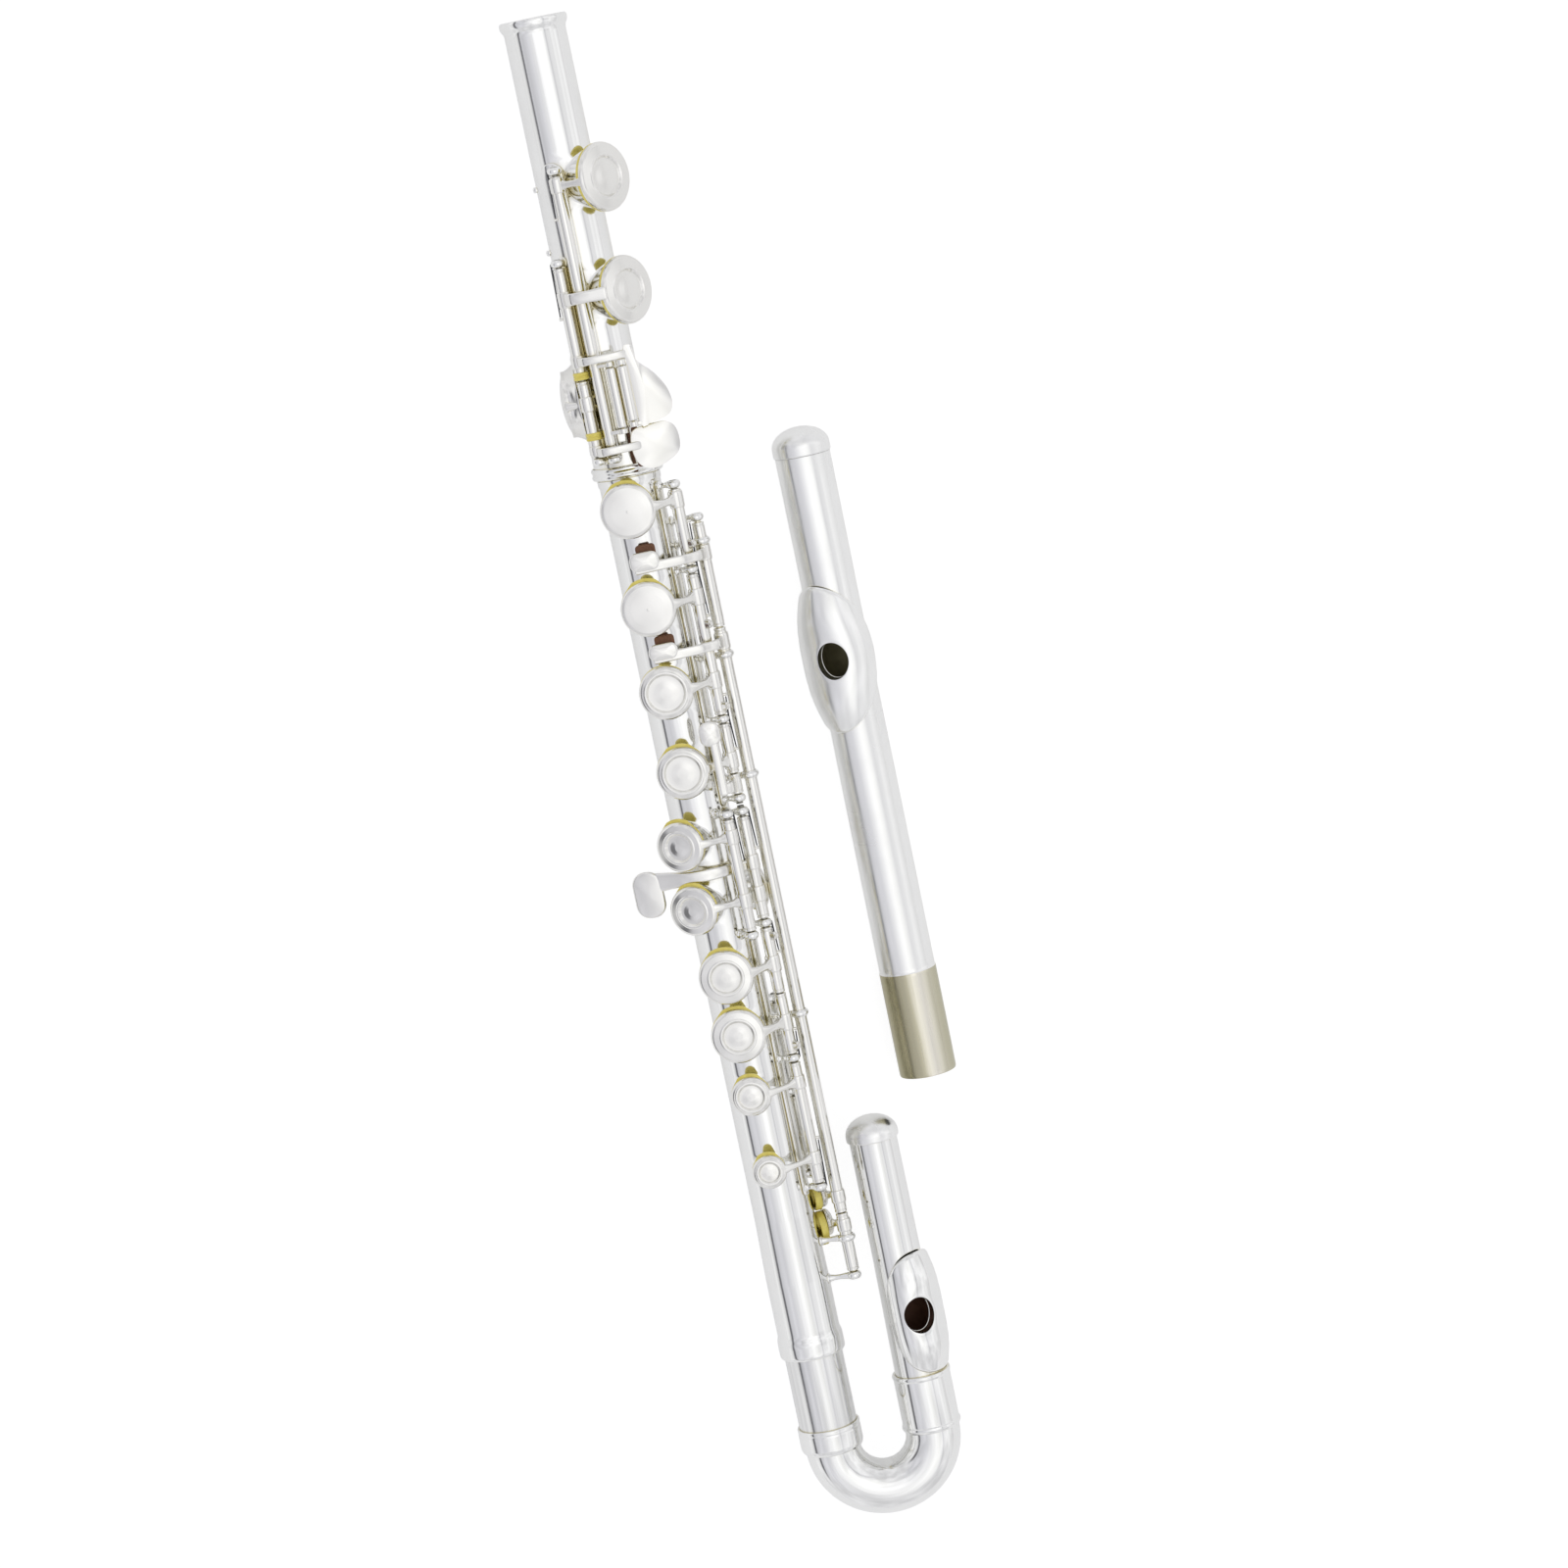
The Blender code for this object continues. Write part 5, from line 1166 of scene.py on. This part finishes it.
# %% [markdown]
# ## Springs and quiet rings
# The needle springs belong to the posts, so they ride with the body or the foot and not with the keys. Where
# a key's arm would click on its neighbour, makers slip a ring of yellow skin over the hinge tube, and they
# glue a strip of felt under a touch.

# %% Springs, rings and felt
BODY_SPRINGS = [name for name in SPRINGS if name not in FOOT_HOLES]
for carrier, names in (("body", BODY_SPRINGS), ("foot", [name for name in SPRINGS if name in FOOT_HOLES])):
    piece(f"{carrier}_needle_springs", [needle(name) for name in names], blued, carrier)
for name, s in (("low_csharp", 112.7), ("low_dsharp", 132.2)):
    piece(f"{name}_quiet_ring", [hinge_tube(CSHARP_ROD, s - 1.2, s + 1.2, 2.6)], skin, f"{name}_key")
felt = plate(round_rectangle(13.0, 2.2, 0.9), 1.1, (137.95, 5.1, 13.5), dome=0.05)
piece("low_dsharp_touch_felt", [felt], bumper, "low_dsharp_key")

# %% Rollers
for name, (t, z), start, end, axis in (
    ("low_c_roller", C_ROLLER, 111.6, 131.0, C_ROD),
    ("low_csharp_roller", CSHARP_ROLLER, 111.6, 129.4, CSHARP_ROD),
):
    drum = [
        (0.8, start), (ROLLER_R - 0.5, start), (ROLLER_R - 0.12, start + 0.2), (ROLLER_R, start + 0.7),
        (ROLLER_R, end - 0.7), (ROLLER_R - 0.12, end - 0.2), (ROLLER_R - 0.5, end), (0.8, end),
    ]
    shape = turned(drum, (0, t, z), (1, 0, 0), 40, 0.1)
    piece(name + "_turned", [shape], silver_keys, name, [name], axis, OPEN_FOOT)

# %% [markdown]
# ## Two head joints
# A head joint's tube narrows towards its crown. Blowing across the hole in the lip plate starts the note,
# and a cork stopper behind the hole sets its tuning. The curved head folds the tube back in a bend, so
# that short arms can reach the keys.

# %% Head joint shapes
HOLE_A, HOLE_B = 6.0, 5.05  # half the blow hole's length and width
ROOT_A, ROOT_B, SUNK = 7.6, 6.9, 0.36  # half the riser's, and how far above the tube's radius it starts
SHARES = (0.0, 0.06, 0.14, 0.24, 0.35, 0.46, 0.57, 0.67, 0.76, 0.84, 0.9, 0.95, 0.985, 1.0)


def lip_plate(tube_r, hole_s, roll, axis_t, length, half_turn, away, lean, power=2.0, ebb=0.0, rise=3.0):
    """Columns run out from the blow hole at every angle f; rows go up the hole's wall, over the plate to
    its edge and back beneath it to the riser. The plate's own middle lies away along the tube and leans
    round it. Its edge is a superellipse, and q is the share of the way to it: the root, of degree power,
    of |2 s / length|^power + |turn / half turn|^power. There the plate stands base + rise (1 - ebb turn^2)
    cos(pi/2 clamp((q - 0.45) / 0.55)) above the tube's axis."""
    f = np.linspace(0, 2 * math.pi, 120, endpoint=False)
    base, sheet = tube_r + 0.46, 0.85
    half, lean = math.radians(half_turn), math.radians(lean)

    def height(s, turn, more):
        q = (np.abs((s - away) * 2 / length) ** power + np.abs((turn - lean) / half) ** power) ** (1 / power)
        hump = np.cos(math.pi / 2 * np.clip((q - 0.45) / 0.55, 0, 1))
        return base + rise * hump * np.clip(1 - ebb * turn**2, 0.3, 1) + more

    def edge(half_s, half_t, more):
        """An oval seen along the hole: s = a cos f, and its turn is the arc sine of b sin f over height."""
        s, y = half_s * np.cos(f), half_t * np.sin(f)
        turn = np.arcsin(y / (base + rise))
        for _ in range(3):
            turn = np.arcsin(y / height(s, turn, more))
        return s, turn

    near_s, near_turn = edge(HOLE_A, HOLE_B, sheet)
    rim_s, rim_turn = edge(HOLE_A + 0.4, HOLE_B + 0.4, sheet)
    oval = [np.sign(wave) * np.abs(wave) ** (2 / power) for wave in (np.cos(f), np.sin(f))]
    far_s, far_turn = away + length / 2 * oval[0], lean + half * oval[1]
    root_s, root_turn = edge(ROOT_A, ROOT_B, 0.0)
    rows = []

    def row(s, turn, radius):
        rows.append(np.stack([s, radius * np.sin(turn), radius * np.cos(turn)], axis=1))

    def on_ring(half_s, half_t, radius):
        s, y = half_s * np.cos(f), half_t * np.sin(f)
        rows.append(np.stack([s, y, np.sqrt(radius**2 - y**2)], axis=1))

    on_ring(HOLE_A, HOLE_B, tube_r + SUNK)
    for share in (0.35, 0.7, 1.0):
        top = height(near_s, near_turn, sheet - 0.3) * np.cos(near_turn)
        z = np.sqrt((tube_r + SUNK) ** 2 - (HOLE_B * np.sin(f)) ** 2) * (1 - share) + top * share
        rows.append(np.stack([HOLE_A * np.cos(f), HOLE_B * np.sin(f), z], axis=1))
    lip_s, lip_turn = near_s * 0.7 + rim_s * 0.3, near_turn * 0.7 + rim_turn * 0.3
    row(lip_s, lip_turn, height(near_s, near_turn, sheet - 0.08))
    for share in SHARES:
        s, turn = rim_s * (1 - share) + far_s * share, rim_turn * (1 - share) + far_turn * share
        row(s, turn, height(s, turn, sheet - 0.35 * max(0.0, (share - 0.95) / 0.05) ** 2))
    row(away + (far_s - away) * 1.004, far_turn, height(far_s, far_turn, 0.3))
    row(far_s, far_turn, height(far_s, far_turn, 0.04))
    for share in (0.05, 0.2, 0.4, 0.6, 0.8, 1.0):
        s, turn = root_s * share + far_s * (1 - share), root_turn * share + far_turn * (1 - share)
        row(s, turn, height(s, turn, 0.04))
    on_ring(ROOT_A, ROOT_B, tube_r + SUNK)
    points, faces = surface(np.array(rows), wrap_rows=True)
    a = math.radians(roll)
    t, z = points[:, 1].copy(), points[:, 2].copy()
    points[:, 1] = t * math.cos(a) + z * math.sin(a) + axis_t
    points[:, 2] = z * math.cos(a) - t * math.sin(a)
    points[:, 0] += hole_s
    return points, faces


def moved(shape, t):
    """The same surface on an axis t to the side."""
    points, faces = shape
    return points + np.array([0.0, t, 0.0]), faces


DOME = 6.2  # how deep a crown's round end is


def crown_cap(top, tube_end, radius, tube_r, axis_t):
    """A cap with a domed end, r = R sqrt(1 - (1 - d / DOME)^2) at depth d, and a plug for the tube."""
    length = tube_end - top
    d = DOME * np.linspace(0, 1, 22) ** 1.7
    profile = list(zip(radius * np.sqrt(1 - (1 - d / DOME) ** 2), d - length)) + [
        (radius, -0.6), (radius - 0.06, -0.3), (radius - 0.2, -0.1), (tube_r - 0.9, -0.1),
        (tube_r - 0.9, 5.0), (1.8, 5.0), (1.8, -2.0), (0, -2.0),
    ]
    return turned(profile, (tube_end, axis_t, 0), (1, 0, 0), 96, 0.12)


def stopper_parts(name, tip, near, far, radius, axis_t, body, world=flute_world):
    """The cork with its two metal plates, on a threaded stem drawn as fine rings."""
    wood = [(0, near + 1.0), (radius - 0.3, near + 1.0), (radius - 0.3, far - 1.0), (0, far - 1.0)]
    s = np.arange(tip + 0.5, near - 0.4, 0.35)
    thread = np.stack([1.5 - 0.22 * (np.arange(len(s)) % 2), s], axis=1)
    metal = [(0, tip), (1.25, tip)] + [tuple(pair) for pair in thread]
    metal += [
        (1.3, near), (radius - 0.2, near), (radius, near + 0.2), (radius, near + 0.8), (1.2, near + 1.0),
        (1.2, far - 1.0), (radius, far - 0.8), (radius, far - 0.2), (radius - 0.2, far), (0, far),
    ]
    piece(name + "_cork", [turned(wood, (0, axis_t, 0), (1, 0, 0), 64)], cork, body, [name], world=world)
    piece(name + "_screw", [turned(metal, (0, axis_t, 0), (1, 0, 0), 48, 0.04)], steel, body, world=world)


def bend_pipe(start, end, centre_s, radius, r, wall):
    """A circle carried along a straight, a half circle and a straight, outside and then back inside."""
    a = np.linspace(0, math.pi, 72)
    arc = np.stack([centre_s + radius * np.sin(a), radius * (1 - np.cos(a)), a], axis=1)
    run = np.concatenate([[(start, 0.0, 0.0)], arc, [(end, 2 * radius, math.pi)]])
    q = np.linspace(0, 2 * math.pi, 64, endpoint=False)
    rows = []
    for size, order in ((r, run), (r - wall, run[::-1])):
        for s, t, turn in order:
            side = np.array([math.sin(turn), -math.cos(turn), 0.0])
            wheel = np.cos(q)[:, None] * side + np.sin(q)[:, None] * np.array([0, 0, 1.0])
            rows.append(np.array([s, t, 0.0]) + size * wheel)
    return surface(np.array(rows), wrap_rows=True)


print("a blow hole of", 2 * HOLE_A, "by", 2 * HOLE_B, "mm")

# %% [markdown]
# ## The curved head joint
# Three tubes are joined by two ferrules: the tenon tube, the bend and the short tapered leg with the lip
# plate. The plate is one sheet that wraps round the leg down to its edge, and leans towards the player.

# %% Curved head joint
HEAD_R, LEG_T, HOLE_S, ROLL = 9.65, 33.6, 435.6, 16.0
lower = [(411.5, 9.25), (411.5, 9.55), (412.0, HEAD_R), (471.6, HEAD_R), (471.6, 9.25)]
piece("head_lower_drawn", [along_tube(lower)], silver_tenon, "head_slide", ["head_lower_tube"])

near = [
    (468.6, 9.68), (468.6, 10.3), (468.9, 10.45), (469.8, 10.45), (470.1, 10.34), (470.4, 10.34),
    (470.7, 10.45), (475.5, 10.45), (476.5, 10.2), (477.2, 9.7), (477.4, 9.4), (477.4, 8.9),
    (472.0, 8.9), (472.0, 9.68),
]
far = [
    (457.2, 8.66), (457.2, 9.6), (457.6, 9.8), (458.2, 9.8), (458.9, 9.5), (474.6, 9.5), (475.0, 9.82),
    (475.7, 9.9), (476.4, 9.62), (476.8, 9.3), (476.8, 8.9), (460.4, 8.9), (460.4, 8.66),
]
bend = [bend_pipe(472.5, 461.0, 477.1, 16.8, 9.1, 0.5), along_tube(near), moved(along_tube(far), LEG_T)]
piece("head_bend_drawn", bend, silver_tube, "head", ["head_bend"])

outer = [(377.0, 7.9), (415.6, 8.05), (460.0, 8.6)]
bore = [(s, r - 0.4) for s, r in outer]
upper = drilled_tube(outer, bore, [(HOLE_S, ROLL, HOLE_A, HOLE_B, None)])
inside = [(bore_film, lambda p: np.hypot(p[:, 1] - LEG_T, p[:, 2]) < 7.75 + (p[:, 0] - 415) * 0.011)]
piece("head_upper_drawn", [moved(upper, LEG_T)], silver_tube, "head", ["head_upper_tube"], more=inside)
plate_shape = lip_plate(8.55, HOLE_S, ROLL, LEG_T, 40.8, 84.0, 0.5, 26.0, 2.5, 0.28)
piece("head_lip_plate_formed", [plate_shape], silver_tube, "head", ["head_lip_plate"])
cap = crown_cap(369.0, 377.0, 8.7, 7.9, LEG_T)
piece("head_crown_turned", [cap], silver_crown, "head_crown", ["head_crown"])
stopper_parts("head_stopper", 378.2, 404.0, 421.0, 7.2, LEG_T, "head_stopper")

# %% [markdown]
# ## The straight head joint
# This one is a single tube with a long taper and a bare tenon. Its lip plate is an almond shape that wraps
# further round. It lies level beside the flute, with its own frame of reference.

# %% Straight head joint
SPARE_HOLE_S, SPARE_ROLL, TENON_S = 218.6, -18.0, 325.15
outer = [(152.6, 9.0), (198.6, 8.9), (258.6, 9.1), (324.9, 9.2)]
bore = [(152.6, 8.6), (198.6, 8.5), (258.6, 8.7), (324.9, 8.8), (325.0, 9.0), (360.2, 9.0)]
tenon = [(324.9, 9.2), (325.2, 9.4), (359.8, 9.4), (360.2, 9.3)]
spare = drilled_tube(outer + tenon[1:], bore, [(SPARE_HOLE_S, SPARE_ROLL, HOLE_A, HOLE_B, None)])
more = [(old_film, lambda p: np.hypot(p[:, 1], p[:, 2]) < 8.72), (nickel, lambda p: p[:, 0] > TENON_S)]
piece("spare_tube_drawn", [spare], silver_crown, "body", ["spare_head_tube"], world=spare_world, more=more)
plate_shape = lip_plate(9.1, SPARE_HOLE_S, SPARE_ROLL, 0.0, 48.6, 112.0, 0.0, -20.0, 1.75)
piece("spare_lip_plate_formed", [plate_shape], silver_crown, "body", ["spare_lip_plate"], world=spare_world)
cap = crown_cap(143.5, 152.6, SPARE_R, 9.0, 0.0)
piece("spare_crown_turned", [cap], silver_crown, "spare_crown", ["spare_crown"], world=spare_world)
stopper_parts("spare_stopper", 153.8, 186.0, 203.6, 8.0, 0.0, "spare_stopper", spare_world)

# %% [markdown]
# ## Stage
# The flute lies on a broad white sheet inside a white tent, which is how polished metal is best shown: it
# mirrors white almost everywhere. The tent's cloth differs in brightness round the tubes, so that they show
# as round, and one narrow dark gap in it draws the thin dark line along them. The tent's two ends are a
# plain pale grey. The eye itself sees only white, because the camera's own rays skip the cloth.

# %% Floor and world
floor_mesh = bpy.data.meshes.new("white_sheet")
SIDE = 3  # metres from the middle to each edge of the sheet
floor_corners = [(-SIDE, -SIDE, 0), (SIDE, -SIDE, 0), (SIDE, SIDE, 0), (-SIDE, SIDE, 0)]
floor_mesh.from_pydata(floor_corners, [], [(0, 1, 2, 3)])
floor = bpy.data.objects.new("white_sheet", floor_mesh)
bpy.context.scene.collection.objects.link(floor)
paper, tree, shader = new_look("white_paper", 0.0, 0.9, "#F2F2F2")
glow = add_node(tree, "ShaderNodeEmission", {}, {"Color": (1, 1, 1, 1), "Strength": 1.2})
seen = add_node(tree, "ShaderNodeLightPath")
mirrored = add_node(tree, "ShaderNodeMath", {"operation": "MULTIPLY"}, {
    0: seen.outputs["Is Glossy Ray"], 1: 0.2,
})
share = add_node(tree, "ShaderNodeMath", {"operation": "MULTIPLY_ADD"}, {
    0: seen.outputs["Is Camera Ray"], 1: 0.72, 2: mirrored.outputs["Value"],
})
mixed = add_node(tree, "ShaderNodeMixShader", {}, {
    0: share.outputs["Value"], 1: shader.outputs["BSDF"], 2: glow.outputs["Emission"],
})
tree.links.new(mixed.outputs["Shader"], tree.nodes["Material Output"].inputs["Surface"])
floor_mesh.materials.append(paper)
print("a sheet", 2 * SIDE, "m wide")

# %% The tent
sky = bpy.data.worlds.new("light_tent")
bpy.context.scene.world = sky
sky.use_nodes = True
tree = sky.node_tree
ground = tree.nodes["Background"]
place = add_node(tree, "ShaderNodeTexCoord").outputs["Generated"]
axes = add_node(tree, "ShaderNodeSeparateXYZ", {}, {"Vector": place})
lean = add_node(tree, "ShaderNodeMath", {"operation": "ARCTAN2"}, {
    0: axes.outputs["Y"], 1: axes.outputs["Z"],
})
share = add_node(tree, "ShaderNodeMapRange", {}, {
    "Value": lean.outputs["Value"], "From Min": -math.pi, "From Max": math.pi, "To Min": 1.0, "To Max": 0.0,
})
ramp = add_node(tree, "ShaderNodeValToRGB", {}, {"Fac": share.outputs["Result"]})
WALLS = (  # degrees from straight up, towards the rod side, and the tent's colour there
    (-180, "#D8D8DA"), (-96, "#EAEAEC"), (-78, "#ECECEE"), (-71, "#DCDCDE"), (-68, "#6C6C70"),
    (-63, "#6C6C70"), (-60, "#D0D0D6"), (-48, "#D6D6DC"), (-32, "#D6D6DC"), (-20, "#E4E4E8"),
    (-8, "#F0F0F3"), (0, "#F8F8FA"), (20, "#FFFFFF"), (33, "#F2F2F5"), (35, "#D4D4D8"), (38, "#D4D4D8"),
    (40, "#F0F0F3"), (48, "#F2F2F5"), (62, "#F8F8FA"), (76, "#F2F2F4"), (86, "#DCDCDE"), (96, "#D6D6D8"),
)
for number, (angle, code) in enumerate(WALLS):
    where = (angle + 180) / 360
    stop = ramp.color_ramp.elements[0] if number == 0 else ramp.color_ramp.elements.new(where)
    stop.position, stop.color = where, srgb(code)
ramp.color_ramp.elements.remove(ramp.color_ramp.elements[-1])
sideways = add_node(tree, "ShaderNodeMath", {"operation": "ABSOLUTE"}, {0: axes.outputs["X"]})
at_end = add_node(tree, "ShaderNodeMapRange", {"interpolation_type": "SMOOTHSTEP"}, {
    "Value": sideways.outputs["Value"], "From Min": 0.4, "From Max": 0.75, "To Min": 0.0, "To Max": 1.0,
})
walls = add_node(tree, "ShaderNodeMix", {"data_type": "RGBA"}, {
    "Factor": at_end.outputs["Result"], "A": ramp.outputs["Color"], "B": srgb("#E2E2E5"),
})
cloud = add_node(tree, "ShaderNodeTexNoise", {}, {"Vector": place, "Scale": 3.5, "Detail": 3.0})
uneven = add_node(tree, "ShaderNodeMapRange", {}, {
    "Value": cloud.outputs["Fac"], "From Min": 0.35, "From Max": 0.65, "To Min": 0.8, "To Max": 1.06,
})
cloth = add_node(tree, "ShaderNodeVectorMath", {"operation": "SCALE"}, {
    0: walls.outputs["Result"], "Scale": uneven.outputs["Result"],
})
seen = add_node(tree, "ShaderNodeLightPath").outputs["Is Camera Ray"]
whole = add_node(tree, "ShaderNodeMix", {"data_type": "RGBA"}, {
    "Factor": seen, "A": cloth.outputs["Vector"], "B": (1, 1, 1, 1),
})
tree.links.new(whole.outputs["Result"], ground.inputs["Color"])
ground.inputs["Strength"].default_value = 1.1
print("a light tent with", len(WALLS), "shades round it")

# %% [markdown]
# ## Lamp
# One broad lamp hangs outside the tent's roof, a little towards the rods. It brightens the roof where the
# tubes' crowns mirror it, and gives the soft shadows their direction.

# %% Lamp
def lamp(name, place, look_at, size, power):
    """A square area lamp turned to face a point."""
    light = bpy.data.lights.new(name, "AREA")
    light.shape, light.size, light.energy = "SQUARE", size, power
    thing = bpy.data.objects.new(name, light)
    thing.location = place
    thing.rotation_euler = (Vector(look_at) - Vector(place)).to_track_quat("-Z", "Y").to_euler()
    bpy.context.scene.collection.objects.link(thing)
    return thing


roof = lamp("roof_lamp", (0.1, -0.3, 1.68), (0, 0, 0), 1.2, 0.5)
print("roof lamp of", roof.data.energy, "W")

# %% [markdown]
# ## Camera
# The view looks down on the keys from 1.5 m, ten degrees towards the foot end, and is turned so that the
# flute runs from the top left to the bottom right. A long lens keeps the tubes nearly parallel.

# %% Camera
MIDDLE, DISTANCE = [255.8, 28.7, 0.0], 1.5  # the middle of the view as (s, t, z), and metres to it
target = Vector(flute_world(np.array([MIDDLE]))[0].tolist())
tilt, roll = math.radians(10.0), math.radians(11.55)
toward = Vector((math.sin(tilt), 0.0, math.cos(tilt)))
eye = target + toward * DISTANCE
down = Vector((-1.0, 0.0, 0.0)) * math.cos(roll) + Vector((0.0, 1.0, 0.0)) * math.sin(roll)
camera_data = bpy.data.cameras.new("view_from_above")
camera_data.lens, camera_data.sensor_width = 106.3, 36.0
camera = bpy.data.objects.new("view_from_above", camera_data)
bpy.context.scene.collection.objects.link(camera)
z_axis = toward
y_axis = (-down + down.dot(z_axis) * z_axis).normalized()
x_axis = y_axis.cross(z_axis)
turn = Matrix((x_axis, y_axis, z_axis)).transposed().to_4x4()
camera.matrix_world = Matrix.Translation(eye) @ turn
bpy.context.scene.camera = camera
bpy.context.scene.view_settings.view_transform = "Standard"
print("camera at", [round(v, 3) for v in eye])
